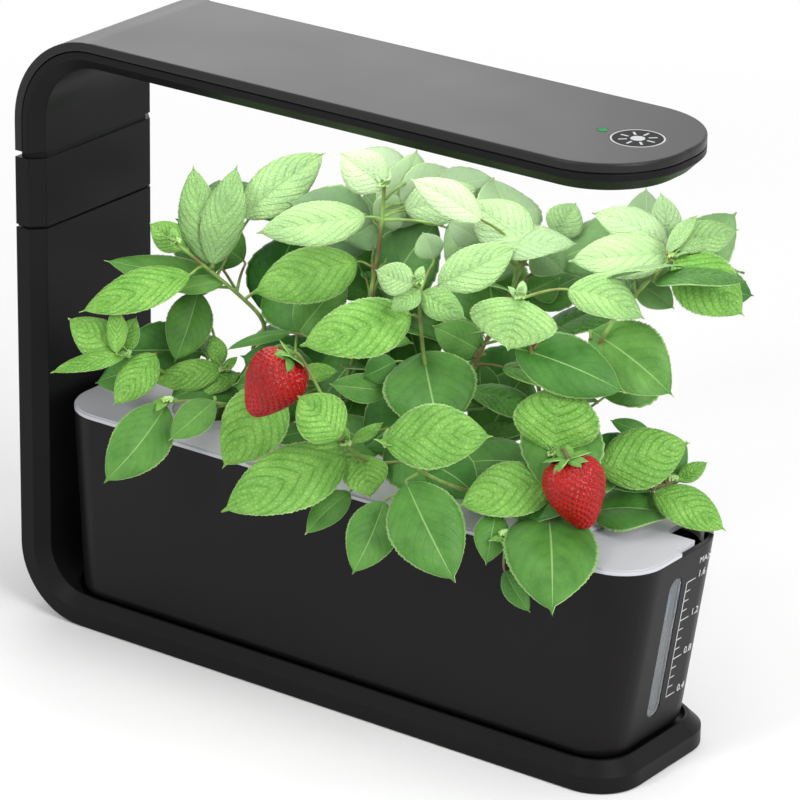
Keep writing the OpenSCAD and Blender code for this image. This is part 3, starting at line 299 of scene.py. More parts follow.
def printedBar(bm, y, up, wide, high):
    made = bmesh.ops.create_cube(bm, size=1.0)["verts"]
    bmesh.ops.scale(bm, vec=(0.1 * mm, wide * mm, high * mm), verts=made)
    place = Matrix.Translation(onWall(y, up, gaugeMarks["raise"]))
    bmesh.ops.transform(bm, matrix=place @ wallTurn, verts=made)


def printedScale():
    g = gaugeMarks
    bm = bmesh.new()
    levels = g["levels"]
    printedBar(bm, g["lineY"], (levels[0] + levels[-1]) / 2, g["stroke"], levels[-1] - levels[0])
    for k, up in enumerate(levels):
        size = g["long"] if k % 4 == 0 else g["short"]
        printedBar(bm, g["lineY"] + size / 2, up, size, g["stroke"])
    return finishPiece(bm, "scaleTicks", finish["whitePadPrint"], "water_tank")


def printedText(name, text, size, y, up):
    curve = bpy.data.curves.new(name, "FONT")
    curve.body = text
    curve.size = size * mm
    curve.extrude = gaugeMarks["inkDepth"] * mm
    curve.align_y = "CENTER"
    source = bpy.data.objects.new(name, curve)
    bpy.context.scene.collection.objects.link(source)
    bpy.context.view_layer.update()
    mesh = bpy.data.meshes.new_from_object(source.evaluated_get(bpy.context.evaluated_depsgraph_get()))
    bpy.data.objects.remove(source)
    bm = bmesh.new()
    bm.from_mesh(mesh)
    facing = Matrix(((0, 0, 1, 0), (1, 0, 0, 0), (0, 1, 0, 0), (0, 0, 0, 1)))
    place = Matrix.Translation(onWall(y, up, gaugeMarks["raise"]))
    bmesh.ops.transform(bm, matrix=place @ wallTurn @ facing, verts=bm.verts)
    return finishPiece(bm, name, finish["whitePadPrint"], "water_tank")


printedScale()
for k, label in enumerate(gaugeMarks["numbers"]):
    printedText(f"number{k}", label, gaugeMarks["numberHeight"], gaugeMarks["numberY"],
                gaugeMarks["levels"][4 * k] + gaugeMarks["numberShift"])
printedText("fullMark", "MAX", gaugeMarks["fullHeight"], gaugeMarks["fullY"], gaugeMarks["fullUp"])
print("gauge printed")


# ---- leaves ----

leafForm = {
    "across": 14, "along": 78, "teeth": 30, "toothDepth": 0.05, "veins": 8, "sweep": 0.22, "bow": 0.18,
    "quilt": 0.018, "smoothQuilt": 0.005,  # height of the puckers as a share of the leaf's width
    "fold": 0.3, "curl": 0.34, "arch": 0.1, "wave": 0.035, "thick": 0.28,
    "fullness": 0.72, "tipFrom": 0.86,  # how blunt the blade is, and where its narrow tip starts
    "toothed": (0.04, 0.92), "leanSpread": 0.05, "foldSpread": (0.7, 1.3), "curlSpread": (0.8, 1.25),
}
# The box round the lit diffuser, in metres, and how far the light painted onto the leaves reaches from it
paintedLampPool = {"left": -0.075, "right": 0.095, "halfWidth": 0.03, "height": 0.277, "reach": 0.088, "fade": 0.05}


# Living leaf blade: waxy, puckered between sunken side veins, with a net of fine veins.
# The map runs across and along each blade; leafTone holds youth, smoothness and the share of light painted on
# from the lamp.
def leafBlade():
    form = leafForm
    material, tree, shader = newMaterial("livingLeaf", 0.46, 1.42)
    shader.inputs["Specular IOR Level"].default_value = 0.35
    shader.inputs["Subsurface Weight"].default_value = 0.12
    shader.inputs["Subsurface Radius"].default_value = (0.6, 1.0, 0.25)
    shader.inputs["Subsurface Scale"].default_value = 1.2 * mm
    place = addNode(tree, "TexCoord")
    split = addNode(tree, "SeparateXYZ", {}, {"Vector": place.outputs["UV"]})
    painted = addNode(tree, "Attribute", {"attribute_name": "leafTone"})
    young, plain, lampPaintedLight = addNode(tree, "SeparateColor", {}, {"Color": painted}).outputs
    centred = addNode(tree, "Math", {"operation": "MULTIPLY_ADD", 1: 2.0, 2: -1.0}, {0: split})
    side = addNode(tree, "Math", {"operation": "ABSOLUTE"}, {0: centred})
    # Distance to the nearest side vein, which bows towards the tip
    bend = addNode(tree, "Math", {"operation": "MULTIPLY_ADD", 1: -form["bow"], 2: -form["sweep"]}, {0: side})
    along = addNode(tree, "Math", {"operation": "MULTIPLY_ADD"}, {0: side, 1: bend, 2: split.outputs["Y"]})
    row = addNode(tree, "Math", {"operation": "MULTIPLY", 1: float(form["veins"])}, {0: along})
    toVein = addNode(tree, "Math", {"operation": "PINGPONG", 1: 0.5}, {0: row})
    vein = addNode(tree, "MapRange", {"From Max": 0.13, "To Min": 1.0, "To Max": 0.0}, {"Value": toVein})
    midVein = addNode(tree, "MapRange", {"From Min": 0.008, "From Max": 0.03, "To Min": 1.0, "To Max": 0.0},
                      {"Value": side})
    net = addNode(tree, "TexVoronoi", {"Scale": 1 / (1.9 * mm), "feature": "DISTANCE_TO_EDGE"},
                  {"Vector": place.outputs["Object"]})
    netLine = addNode(tree, "MapRange", {"From Max": 0.25}, {"Value": net})
    cloud = addNode(tree, "TexNoise", {"Scale": 1 / (10 * mm), "Detail": 4.0},
                    {"Vector": place.outputs["Object"]})
    old = addNode(tree, "ValToRGB", {"stops": [(0.25, "#22581b"), (0.75, "#3c782c")]}, {"Fac": cloud})
    fresh = addNode(tree, "ValToRGB", {"stops": [(0.25, "#70a744"), (0.75, "#9ac968")]}, {"Fac": cloud})
    blade = addNode(tree, "Mix", {"data_type": "RGBA"}, {0: young, 6: old, 7: fresh}).outputs[2]
    # Painted shade and light: the furrows are darkened to a deeper green and the puckers between them are left
    # light, as if they catch the light
    paintedFurrowShade = addNode(tree, "ValToRGB", {"stops": [(0.04, "#a9c894"), (0.2, "#e0edd4"), (0.9, "#ffffff")]},
                      {"Fac": addNode(tree, "MapRange", {"From Max": 0.5}, {"Value": toVein})})
    paintedFurrowDepth = addNode(tree, "MapRange", {"To Min": 0.62, "To Max": 0.25}, {"Value": plain})
    fading = addNode(tree, "MapRange", {"From Min": 0.96, "From Max": 0.66}, {"Value": split.outputs["Y"]})
    paintedFurrowShare = addNode(tree, "Math", {"operation": "MULTIPLY"}, {0: paintedFurrowDepth, 1: fading})
    blade = addNode(tree, "Mix", {"data_type": "RGBA", "blend_type": "MULTIPLY"},
                    {0: paintedFurrowShare, 6: blade, 7: paintedFurrowShade}).outputs[2]
    netTone = addNode(tree, "ValToRGB", {"stops": [(0.0, "#bcd6a6"), (1.0, "#ffffff")]}, {"Fac": netLine})
    netShare = addNode(tree, "MapRange", {"To Min": 0.6, "To Max": 0.2}, {"Value": plain})
    blade = addNode(tree, "Mix", {"data_type": "RGBA", "blend_type": "MULTIPLY"},
                    {0: netShare, 6: blade, 7: netTone}).outputs[2]
    # Painted light: leaves close under the lamp are mixed towards a pale wash, as if lit by its glow
    lampPaintedShare = addNode(tree, "Math", {"operation": "MULTIPLY", 1: 0.58}, {0: lampPaintedLight})
    blade = addNode(tree, "Mix", {"data_type": "RGBA", 7: toLinear("#cddbc0")},
                    {0: lampPaintedShare, 6: blade}).outputs[2]
    # Pale midrib, clear on the smooth leaves and faint on the young ones; pale margin
    ribShare = addNode(tree, "MapRange", {"To Min": 0.2, "To Max": 0.6}, {"Value": plain})
    rib = addNode(tree, "Math", {"operation": "MULTIPLY"}, {0: midVein, 1: ribShare})
    blade = addNode(tree, "Mix", {"data_type": "RGBA", 7: toLinear("#a2c57e")}, {0: rib, 6: blade}).outputs[2]
    rim = addNode(tree, "MapRange", {"From Min": 0.93, "To Max": 0.6}, {"Value": side})
    blade = addNode(tree, "Mix", {"data_type": "RGBA", 7: toLinear("#c2e29b")}, {0: rim, 6: blade}).outputs[2]
    tree.links.new(blade, shader.inputs["Base Color"])
    gloss = addNode(tree, "MapRange", {"To Min": 0.38, "To Max": 0.56}, {"Value": cloud})
    tree.links.new(gloss.outputs[0], shader.inputs["Roughness"])
    sunk = addNode(tree, "Math", {"operation": "MULTIPLY_ADD", 1: -1.2}, {0: midVein, 2: netLine})
    height = addNode(tree, "Math", {"operation": "MULTIPLY_ADD", 1: -1.2}, {0: vein, 2: sunk})
    depth = addNode(tree, "MapRange", {"To Min": 0.7, "To Max": 0.25}, {"Value": plain})
    bump = addNode(tree, "Bump", {"Distance": 0.3 * mm}, {"Height": height, "Strength": depth})
    tree.links.new(bump.outputs[0], shader.inputs["Normal"])
    return material


# Half width along the blade: full to past the middle, then drawn in to a short narrow tip
def bladeWidth(t):
    body = math.sin(math.pi * min(1.0, t / 0.95) ** 0.86)
    tip = 1 - t if t > leafForm["tipFrom"] else 0.0
    return max(max(0.0, body) ** leafForm["fullness"], tip)


# How much painted lamp light a leaf gets at this spot, from 0 to 1
def paintedLampLight(spot):
    g = paintedLampPool
    away = Vector((max(g["left"] - spot.x, 0, spot.x - g["right"]), max(abs(spot.y) - g["halfWidth"], 0),
                   g["height"] - spot.z)).length
    return min(1.0, max(0.0, (g["reach"] - away) / g["fade"]))


def growLeaf(bm, toneLayer, base, tip, width, turned, age, smooth, size):
    form, length = leafForm, (tip - base).length
    axis = (tip - base) / length
    up = axis.cross(turned)
    quilt = (form["smoothQuilt"] if smooth else form["quilt"]) * width
    phase, lean = rng.uniform(0, 6.28), rng.uniform(-form["leanSpread"], form["leanSpread"])
    fold = form["fold"] * rng.uniform(*form["foldSpread"])
    curl = form["curl"] * rng.uniform(*form["curlSpread"])
    # the third share in the tone is painted lamp light, strongest close under the diffuser
    tone = (age, 1.0 if smooth else 0.0, paintedLampLight((base + tip) / 2), 1.0)
    grid = bmesh.ops.create_grid(bm, x_segments=size[0], y_segments=size[1], size=1.0, calc_uvs=True)
    for vert in grid["verts"]:
        u, t = vert.co.x, (vert.co.y + 1) / 2
        edge = abs(u)
        saw = (t * form["teeth"]) % 1.0
        reach = bladeWidth(t) * width / 2
        if form["toothed"][0] < t < form["toothed"][1]:
            reach *= 1 + form["toothDepth"] * (saw - 0.45) * edge ** 8
        row = t - form["sweep"] * edge - form["bow"] * edge * edge
        panel = abs(math.sin(math.pi * form["veins"] * row))
        pucker = quilt * (panel ** 0.6) * min(1.0, edge / 0.1) * (1 - edge ** 5)
        pucker *= math.sin(math.pi * min(1, t * 1.02)) ** 0.5
        rise = form["arch"] * length * (4 * t * (1 - t)) * 0.8 + pucker
        rise += reach * (fold * edge - curl * edge * edge)
        rise += form["wave"] * width * edge ** 2 * math.sin(7 * t + phase + (1.7 if u > 0 else 0))
        sway = lean * length * math.sin(math.pi * t)
        vert.co = base + axis * (t * length) + turned * (u * reach + sway) + up * rise
        vert[toneLayer] = tone


# The blade's sideways direction, from its turn about its own midrib
def turnedSide(base, tip, turn):
    axis = (tip - base).normalized()
    flat = Vector((0, 0, 1)).cross(axis).normalized()
    return flat * math.cos(turn) + axis.cross(flat) * math.sin(turn)


# Leaves by plant: stalk foot, base and tip (mm), width, turn and kind.
# The kinds are 0 young, 1 smooth, 2 at the rear and 3 inner
leafRows = {
    1: [
        (-85, -7, 182, -84, -5, 184, -104, 5, 226, 19, -24, 0),
        (-85, -7, 182, -83, -7, 185, -86, 15, 227, 19, 24, 0),
        (-85, -7, 182, -81, 13, 203, -61, 50, 229, 23, 47, 0),
        (-87, -9, 184, -88, -18, 182, -120, -59, 168, 20, -43, 0),
        (-78, -1, 173, -85, 3, 173, -134, -24, 180, 17, -45, 1),
        (-80, -2, 175, -80, -2, 176, -97, -19, 172, 9, -44, 1),
        (-91, -14, 190, -97, -10, 191, -113, -16, 201, 14, -61, 0),
        (-78, -1, 173, -97, 0, 166, -97, -18, 136, 21, -32, 1),
        (-103, -46, 147, -103, -46, 147, -131, -54, 161, 19, -51, 0),
        (-103, -46, 147, -102, -48, 148, -124, -75, 142, 10, -34, 0),
        (-103, -46, 147, -104, -52, 150, -111, -45, 170, 9, -10, 0),
        (-103, -46, 147, -105, -46, 148, -104, -37, 163, 11, 36, 0),
        (-100, -38, 142, -93, -37, 147, -100, -59, 127, 17, -41, 0),
        (-77, -6, 133, -78, -6, 134, -102, -30, 129, 15, -44, 0),
        (-75, 4, 127, -72, -2, 131, -87, -22, 124, 11, -42, 0),
        (-77, -6, 132, -80, -5, 135, -87, -2, 148, 9, -31, 0),
        (-77, -6, 133, -102, 8, 160, -143, 24, 162, 26, 15, 2),
        (-69, 6, 135, -74, 13, 141, -59, 45, 150, 23, -17, 2),
        (-81, -2, 176, -94, 2, 174, -124, 20, 182, 23, 7, 2),
        (-84, -6, 180, -104, 27, 196, -133, 62, 196, 27, -11, 2),
        (-75, 1, 171, -111, 26, 173, -140, 53, 153, 29, 14, 2),
        (-84, -3, 124, -92, 4, 133, -127, 28, 131, 25, 20, 2),
        (-83, -4, 178, -83, 24, 201, -80, 57, 194, 20, 21, 2),
        (-74, 5, 129, -72, 22, 154, -76, 50, 189, 31, 9, 3),
        (-84, -3, 124, -94, -1, 137, -131, -23, 135, 27, -54, 3),
        (-80, -5, 128, -79, 8, 127, -89, -32, 124, 25, -27, 3),
        (-75, 1, 171, -91, 27, 175, -128, 22, 189, 26, -46, 3),
        (-71, 2, 168, -67, 15, 172, -29, 10, 156, 31, 32, 3),
        (-98, -29, 136, -104, -28, 132, -129, -37, 124, 18, -42, 3),
    ],
    2: [
        (-5, 19, 217, -10, 12, 219, -46, -22, 213, 22, -45, 0),
        (-7, 17, 193, -15, 13, 196, -47, -24, 184, 28, -43, 0),
        (-28, -17, 138, -41, 3, 158, -30, 26, 184, 21, 54, 1),
        (-14, 10, 149, -41, -3, 160, -58, -29, 155, 7, -23, 1),
        (-32, -24, 143, -32, -25, 143, -38, -57, 111, 29, -36, 0),
        (-72, -54, 134, -73, -54, 132, -83, -87, 102, 26, -40, 1),
        (-51, -46, 139, -50, -48, 138, -58, -71, 124, 16, -35, 1),
        (-4, 18, 233, -4, 19, 233, -25, 12, 247, 20, -60, 0), (-5, 19, 218, 0, 29, 220, 24, 54, 229, 21, 54, 0),
        (-6, 19, 213, -15, 27, 211, -24, 16, 203, 19, -61, 1),
        (-6, 19, 211, -14, 25, 213, -4, 37, 222, 16, 61, 1),
        (-21, 3, 121, -24, 25, 125, -24, 17, 115, 19, -26, 1),
        (-31, -22, 142, -21, -20, 151, -8, -10, 151, 9, 45, 0),
        (-24, -4, 119, -19, -13, 119, -33, -27, 116, 11, -44, 1),
        (-14, 10, 149, -22, 13, 153, -13, 47, 144, 23, -17, 2),
        (-11, 13, 159, -15, 0, 162, 16, 15, 163, 22, 19, 2),
        (-9, 15, 181, -15, 21, 186, -9, 61, 160, 29, 10, 2), (-17, 6, 135, -1, 41, 137, 18, 73, 125, 23, 6, 2),
        (-11, 13, 163, -6, 40, 164, -12, 68, 145, 20, 19, 2),
        (-11, 13, 163, -11, 22, 163, 14, 45, 150, 21, -17, 2),
        (-10, 14, 170, 5, 40, 174, 30, 55, 155, 20, -5, 2), (-15, 9, 145, -15, 3, 148, 14, 25, 132, 25, -22, 2),
        (-18, 6, 132, -29, 13, 136, -69, -4, 142, 35, -52, 3),
        (-13, 11, 151, -7, 25, 176, 8, 45, 212, 31, 55, 3), (-10, 14, 172, -8, 34, 205, -9, 50, 242, 27, 39, 3),
        (-10, 14, 171, -11, 42, 171, 8, 36, 136, 32, 46, 3),
        (-8, 16, 188, -22, 33, 197, -59, 18, 214, 34, -56, 3),
        (-14, 10, 149, -15, 32, 155, -27, 2, 127, 32, -25, 3),
        (-12, 12, 158, -16, 32, 170, -45, 43, 204, 34, -35, 3),
        (-5, 19, 218, 4, 43, 222, 25, 64, 231, 21, 37, 3), (-4, 19, 227, -8, 43, 229, -33, 35, 240, 17, -45, 3),
        (-27, -12, 134, -31, 8, 132, -54, -30, 139, 35, -63, 3),
        (-5, 19, 217, 19, 35, 214, 61, 42, 203, 35, 60, 3),
        (-8, 16, 190, -14, 49, 194, -41, 52, 213, 26, -37, 3),
        (-5, 19, 222, -5, 33, 221, 7, 63, 230, 23, 55, 3),
    ],
    3: [
        (43, -18, 192, 40, -21, 193, 7, -59, 182, 28, -44, 0),
        (65, 31, 209, 70, 28, 217, 40, 22, 235, 24, -48, 0), (66, 32, 212, 54, 12, 232, 22, 2, 247, 16, -51, 0),
        (66, 32, 212, 65, 56, 214, 68, 67, 228, 17, 44, 0), (65, 31, 209, 61, 43, 210, 77, 46, 202, 19, 39, 1),
        (63, 31, 205, 43, 27, 215, 28, 23, 222, 14, -51, 1),
        (44, -21, 207, 44, -25, 210, 28, -32, 215, 15, -53, 0),
        (44, -20, 202, 44, -18, 204, 65, -14, 195, 15, 40, 0),
        (44, -20, 202, 46, -9, 205, 68, 20, 220, 20, 52, 0),
        (44, -21, 206, 44, -21, 207, 39, -35, 199, 11, -36, 0),
        (42, -15, 176, 39, -10, 172, 59, -23, 140, 41, 17, 1),
        (48, 20, 162, 48, 25, 163, 25, 17, 173, 18, -52, 1), (55, 28, 186, 57, 47, 188, 65, 60, 193, 17, 41, 1),
        (43, -20, 201, 29, 11, 208, 22, 12, 219, 13, -41, 1), (43, 8, 137, 52, 21, 139, 43, 30, 156, 17, -8, 1),
        (43, -12, 164, 29, -17, 167, 20, -29, 161, 14, -52, 1),
        (44, -9, 152, 30, -22, 155, 7, -37, 157, 14, -45, 1),
        (33, -59, 141, 34, -65, 147, 12, -67, 162, 23, -46, 0),
        (36, -50, 131, 28, -52, 133, -5, -100, 113, 31, -42, 0),
        (36, -48, 130, 31, -47, 132, 42, -53, 116, 20, 20, 0),
        (33, -59, 141, 35, -57, 143, 43, -45, 150, 6, 50, 0),
        (33, -59, 141, 32, -61, 144, 25, -70, 141, 5, -43, 0),
        (37, -44, 128, 31, -53, 116, 22, -74, 100, 13, -45, 1),
        (45, 13, 150, 55, 5, 152, 84, 20, 141, 22, 13, 2), (43, -19, 197, 48, 9, 203, 63, 35, 187, 19, -7, 2),
        (49, 23, 168, 70, 43, 171, 87, 78, 179, 26, 2, 2), (43, 4, 124, 54, 19, 125, 65, 57, 125, 24, -5, 2),
        (52, 27, 178, 67, 29, 181, 97, 49, 164, 26, -10, 2), (47, 18, 159, 61, 22, 160, 96, 48, 143, 28, 0, 2),
        (66, 32, 212, 58, 20, 217, 89, 38, 221, 21, 23, 2), (47, 19, 162, 46, 38, 170, 23, 57, 205, 37, -12, 3),
        (43, 3, 119, 39, 33, 127, 43, 66, 153, 35, 56, 3),
        (44, -10, 153, 34, 10, 147, 14, -21, 121, 37, -45, 3),
        (33, -58, 140, 37, -28, 140, 72, -32, 120, 31, 55, 3),
        (53, 27, 182, 57, 49, 181, 72, 78, 192, 24, 25, 3), (60, 30, 198, 53, 46, 211, 25, 61, 232, 31, 6, 3),
        (59, 29, 195, 67, 53, 203, 103, 77, 215, 30, 35, 3),
        (41, -23, 119, 21, -17, 120, -11, -19, 130, 26, -20, 3),
        (37, -44, 128, 58, -30, 129, 89, -35, 122, 22, 44, 3),
        (43, 1, 114, 48, 26, 119, 53, 54, 148, 32, 30, 3),
    ],
    4: [
        (140, 36, 227, 135, 41, 226, 101, 12, 223, 22, -45, 0),
        (138, 35, 224, 131, 46, 226, 98, 34, 239, 18, -52, 0),
        (136, 33, 221, 127, 53, 223, 118, 59, 246, 14, -16, 0),
        (139, 35, 226, 139, 33, 230, 144, 49, 244, 7, 42, 0),
        (66, -72, 153, 66, -75, 156, 103, -46, 159, 28, 55, 0),
        (96, -18, 213, 96, -18, 213, 100, -32, 194, 37, -16, 0),
        (100, -12, 185, 92, -14, 188, 138, 5, 172, 27, 53, 1),
        (112, 15, 188, 110, 19, 190, 149, 27, 166, 32, 48, 1),
        (96, -18, 213, 112, -4, 217, 145, 7, 208, 20, 43, 0),
        (128, 26, 209, 123, 34, 212, 142, 36, 203, 15, 38, 1),
        (138, 35, 224, 142, 34, 226, 175, 41, 206, 27, 49, 0),
        (140, 36, 227, 139, 40, 231, 158, 61, 237, 16, 44, 0),
        (140, 36, 227, 141, 37, 231, 153, 49, 233, 7, 45, 0),
        (116, -18, 144, 116, -18, 146, 112, -5, 174, 37, 17, 0),
        (126, 7, 118, 130, -1, 135, 158, 28, 146, 27, 53, 0),
        (119, -20, 132, 120, -22, 133, 90, -53, 125, 26, -44, 0),
        (111, -21, 118, 116, -21, 119, 158, -78, 100, 40, 0, 1),
        (120, 5, 115, 126, -1, 114, 157, 18, 114, 33, 15, 1),
        (145, 20, 123, 149, 14, 124, 182, 22, 112, 19, 41, 0),
        (148, 31, 124, 149, 33, 124, 157, 45, 131, 8, 50, 0),
        (142, 18, 122, 135, 31, 117, 144, 48, 137, 15, 53, 1),
        (147, 27, 124, 138, 25, 147, 122, 18, 151, 8, -54, 1),
        (112, -48, 115, 111, -46, 97, 125, -46, 81, 10, 48, 1),
        (112, -34, 120, 102, -41, 121, 107, -55, 102, 15, -15, 1),
        (73, -50, 130, 55, -60, 120, 55, -83, 93, 22, -28, 1),
        (71, -57, 137, 67, -60, 132, 100, -68, 96, 33, 32, 1),
        (100, -12, 189, 102, -3, 195, 75, -25, 193, 21, 20, 2),
        (124, 23, 204, 118, 27, 207, 122, 68, 211, 23, 13, 2),
        (111, 11, 169, 111, 8, 170, 120, 51, 170, 29, 13, 2),
        (121, 21, 200, 124, 7, 221, 153, 26, 228, 21, -21, 2),
        (129, 27, 212, 127, 45, 212, 148, 84, 207, 30, -6, 2),
        (135, 32, 220, 145, 14, 223, 181, 31, 226, 24, 0, 2),
        (142, 18, 122, 133, 10, 129, 103, -19, 133, 26, -40, 3),
        (112, -25, 120, 96, -2, 129, 58, -22, 124, 30, -26, 3),
        (102, -9, 174, 108, 3, 157, 125, -27, 127, 36, -7, 3),
        (124, 23, 204, 129, 54, 212, 148, 75, 239, 26, 56, 3),
        (90, -30, 121, 98, -17, 129, 136, -26, 125, 33, 32, 3),
        (105, -4, 141, 109, 32, 154, 119, 66, 170, 32, 43, 3),
        (122, 22, 201, 118, 54, 214, 100, 75, 240, 23, 10, 3),
        (106, -4, 140, 117, 15, 142, 146, 21, 121, 28, 26, 3),
        (133, 30, 217, 140, 54, 213, 162, 70, 204, 19, 69, 3),
    ],
}
# Stems by plant, from the cup upwards (mm)
stemRows = {
    1: [
        [(-89, 0, 88), (-89, 0, 111), (-55, 10, 150), (-69, 3, 166), (-81, -2, 176), (-95, -19, 196)],
        [(-89, 0, 88), (-89, 0, 111), (-95, -9, 123), (-99, -33, 139), (-103, -46, 147)],
        [(-89, 0, 88), (-89, 0, 111), (-85, -3, 123), (-77, -6, 133)],
    ],
    2: [
        [(-23, 0, 88), (-23, 0, 111), (-11, 13, 159), (-7, 17, 197), (-5, 19, 217), (-4, 18, 233)],
        [(-23, 0, 88), (-23, 0, 111), (-27, -13, 136), (-32, -24, 143)],
        [(-23, 0, 88), (-23, 0, 111), (-34, -19, 123), (-51, -46, 139), (-72, -54, 134)],
    ],
    3: [
        [(43, 0, 88), (43, 0, 111), (44, -9, 150), (42, -15, 174), (43, -18, 192), (44, -22, 209)],
        [(43, 0, 88), (43, 0, 111), (43, 10, 143), (51, 26, 174), (66, 32, 212)],
        [(43, 0, 88), (43, 0, 111), (40, -24, 120), (36, -48, 130), (33, -59, 141)],
    ],
    4: [
        [(109, 0, 88), (109, 0, 111), (109, 6, 142), (112, 15, 188), (129, 27, 212), (140, 36, 227)],
        [(109, 0, 88), (109, 0, 111), (117, -14, 118), (119, -20, 134), (116, -18, 144)],
        [(109, 0, 88), (109, 0, 111), (128, 8, 118), (145, 20, 123), (148, 31, 124)],
        [(109, 0, 88), (109, 0, 111), (94, -26, 120), (73, -50, 130), (66, -72, 153)],
        [(109, 0, 88), (109, 0, 111), (102, -9, 173), (96, -18, 213)],
        [(109, 0, 88), (109, 0, 111), (112, -30, 121), (112, -48, 115)],
    ],
}


# Stems and leaf stalks are tapered, slightly bent shoots
def shootMaterial():
    material, tree, shader = newMaterial("greenShoot", 0.45, 1.42)
    place = addNode(tree, "TexCoord").outputs["Object"]
    cloud = addNode(tree, "TexNoise", {"Scale": 1 / (14 * mm), "Detail": 3.0}, {"Vector": place})
    tone = addNode(tree, "ValToRGB", {"stops": [(0.35, "#6b5a38"), (0.5, "#6f8a40"), (0.7, "#93b862")]},
                   {"Fac": cloud})
    tree.links.new(tone.outputs[0], shader.inputs["Base Color"])
    fine = addNode(tree, "TexNoise", {"Scale": 1 / (0.7 * mm)}, {"Vector": place})
    bump = addNode(tree, "Bump", {"Strength": 0.5, "Distance": 0.1 * mm}, {"Height": fine})
    tree.links.new(bump.outputs["Normal"], shader.inputs["Normal"])
    return material


finish["livingLeaf"] = leafBlade()
finish["greenShoot"] = shootMaterial()


def addShoot(curve, points, radii):
    spline = curve.splines.new("NURBS")
    spline.points.add(len(points) - 1)
    for point, place, radius in zip(spline.points, points, radii):
        point.co = (*place, 1.0)
        point.radius = radius
    spline.order_u = min(4, len(points))
    spline.use_endpoint_u = True
    spline.resolution_u = 5


def shootCurve(name):
    curve = bpy.data.curves.new(name, "CURVE")
    curve.dimensions = "3D"
    curve.bevel_depth = 1.0 * mm
    curve.bevel_resolution = 2
    curve.use_fill_caps = True
    return curve


def curveToPiece(curve, name, material, body):
    source = bpy.data.objects.new(name, curve)
    bpy.context.scene.collection.objects.link(source)
    bpy.context.view_layer.update()
    mesh = bpy.data.meshes.new_from_object(source.evaluated_get(bpy.context.evaluated_depsgraph_get()))
    bpy.data.objects.remove(source)
    bm = bmesh.new()
    bm.from_mesh(mesh)
    return finishPiece(bm, name, material, body)


plantForm = {
    "wider": 1.04, "stemFoot": 1.25, "stemTaper": 0.45,
    "ages": ((0.65, 1.0), (0.1, 0.35), (0.1, 0.5), (0.0, 0.3)),  # by kind of leaf
    "innerSize": (10, 39),  # cells across and along an inner leaf
    "stalkFrom": 1.5, "stalkArch": 0.08, "stalkJoin": 2, "stalkInto": 0.04,  # mm, or a share of the length
    "stalkRadii": [0.8, 0.65, 0.6, 0.55, 0.3],
}


def growPlant(k):
    f = plantForm
    body, slot = f"pod_{k}", "leaf_green"
    bm = bmesh.new()
    bm.loops.layers.uv.new("blade")
    toneLayer = bm.verts.layers.float_color.new("leafTone")
    shoots = shootCurve(f"shoots{k}")
    for stem in stemRows[k]:
        points = [Vector(p) * mm for p in stem]
        last = len(points) - 1
        addShoot(shoots, points, [f["stemFoot"] - f["stemTaper"] * n / last for n in range(last + 1)])
        if len(points) > 2:
            growBud(bm, toneLayer, points[-1], points[-1] - points[-2])
    for row in leafRows[k]:
        foot, base, tip = (Vector(row[n:n + 3]) * mm for n in (0, 3, 6))
        width, turn, kind = row[9] * f["wider"] * mm, math.radians(row[10]), row[11]
        age = rng.uniform(*f["ages"][kind])
        size = f["innerSize"] if kind == 3 else (leafForm["across"], leafForm["along"])
        growLeaf(bm, toneLayer, base, tip, width, turnedSide(base, tip, turn), age, kind in (1, 3), size)
        if (base - foot).length > f["stalkFrom"] * mm:
            way = (tip - base).normalized()
            middle = (foot + base) / 2 + Vector((0, 0, f["stalkArch"] * (base - foot).length))
            join, end = base - way * f["stalkJoin"] * mm, base + way * f["stalkInto"] * (tip - base).length
            addShoot(shoots, [foot, middle, join, base, end], f["stalkRadii"])
    leaves = finishPiece(bm, f"leaves{k}", finish["livingLeaf"], body)
    wall = leaves.modifiers.new("bladeThickness", "SOLIDIFY")
    wall.thickness, wall.offset = leafForm["thick"] * mm, 0.0
    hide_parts(f"plant_{k}")
    curveToPiece(shoots, f"stems{k}", finish["greenShoot"], body)
    print("plant", k, "grown with", len(leafRows[k]), "leaves")


budForm = {
    "buds": 16, "budRadius": (0.6, 0.85), "spread": 2.6, "domeHeight": 2.2, "domeFall": 0.16, "golden": 2.4,
    # Young leaves: the first one's size, way out and way up, and what each next one adds
    "leaves": 7, "foot": 0.5, "size": (4.2, 0.9), "out": (0.35, 0.1), "up": (1.4, -0.12), "slim": 0.5,
    "turnSpread": 0.5, "cells": (6, 14),
}


# A shoot ends in a knot of yellow-green flower buds between small young leaves
def growBud(bm, toneLayer, place, way):
    f = budForm
    way = way.normalized()
    for n in range(f["buds"]):
        reach, a = f["spread"] * math.sqrt((n + 0.5) / f["buds"]), n * f["golden"]
        height = f["domeHeight"] - f["domeFall"] * reach * reach
        spot = Vector((reach * math.cos(a), reach * math.sin(a), height)) * mm
        made = bmesh.ops.create_icosphere(bm, subdivisions=1, radius=rng.uniform(*f["budRadius"]) * mm,
                                          matrix=Matrix.Translation(place + spot))["verts"]
        for vert in made:
            vert[toneLayer] = (1.0, 1.0, 0.0, 1.0)
    for n in range(f["leaves"]):
        a = n * f["golden"]
        size, aside, ahead = (f[key][0] + f[key][1] * n for key in ("size", "out", "up"))
        out = Vector((math.cos(a), math.sin(a), 0)) * aside + way * ahead
        base, tip = place + way * f["foot"] * mm, place + out.normalized() * (size * mm)
        turned = turnedSide(base, tip, rng.uniform(-f["turnSpread"], f["turnSpread"]))
        growLeaf(bm, toneLayer, base, tip, size * mm * f["slim"], turned, 1.0, False, f["cells"])


for k in (1, 2, 3, 4):
    growPlant(k)
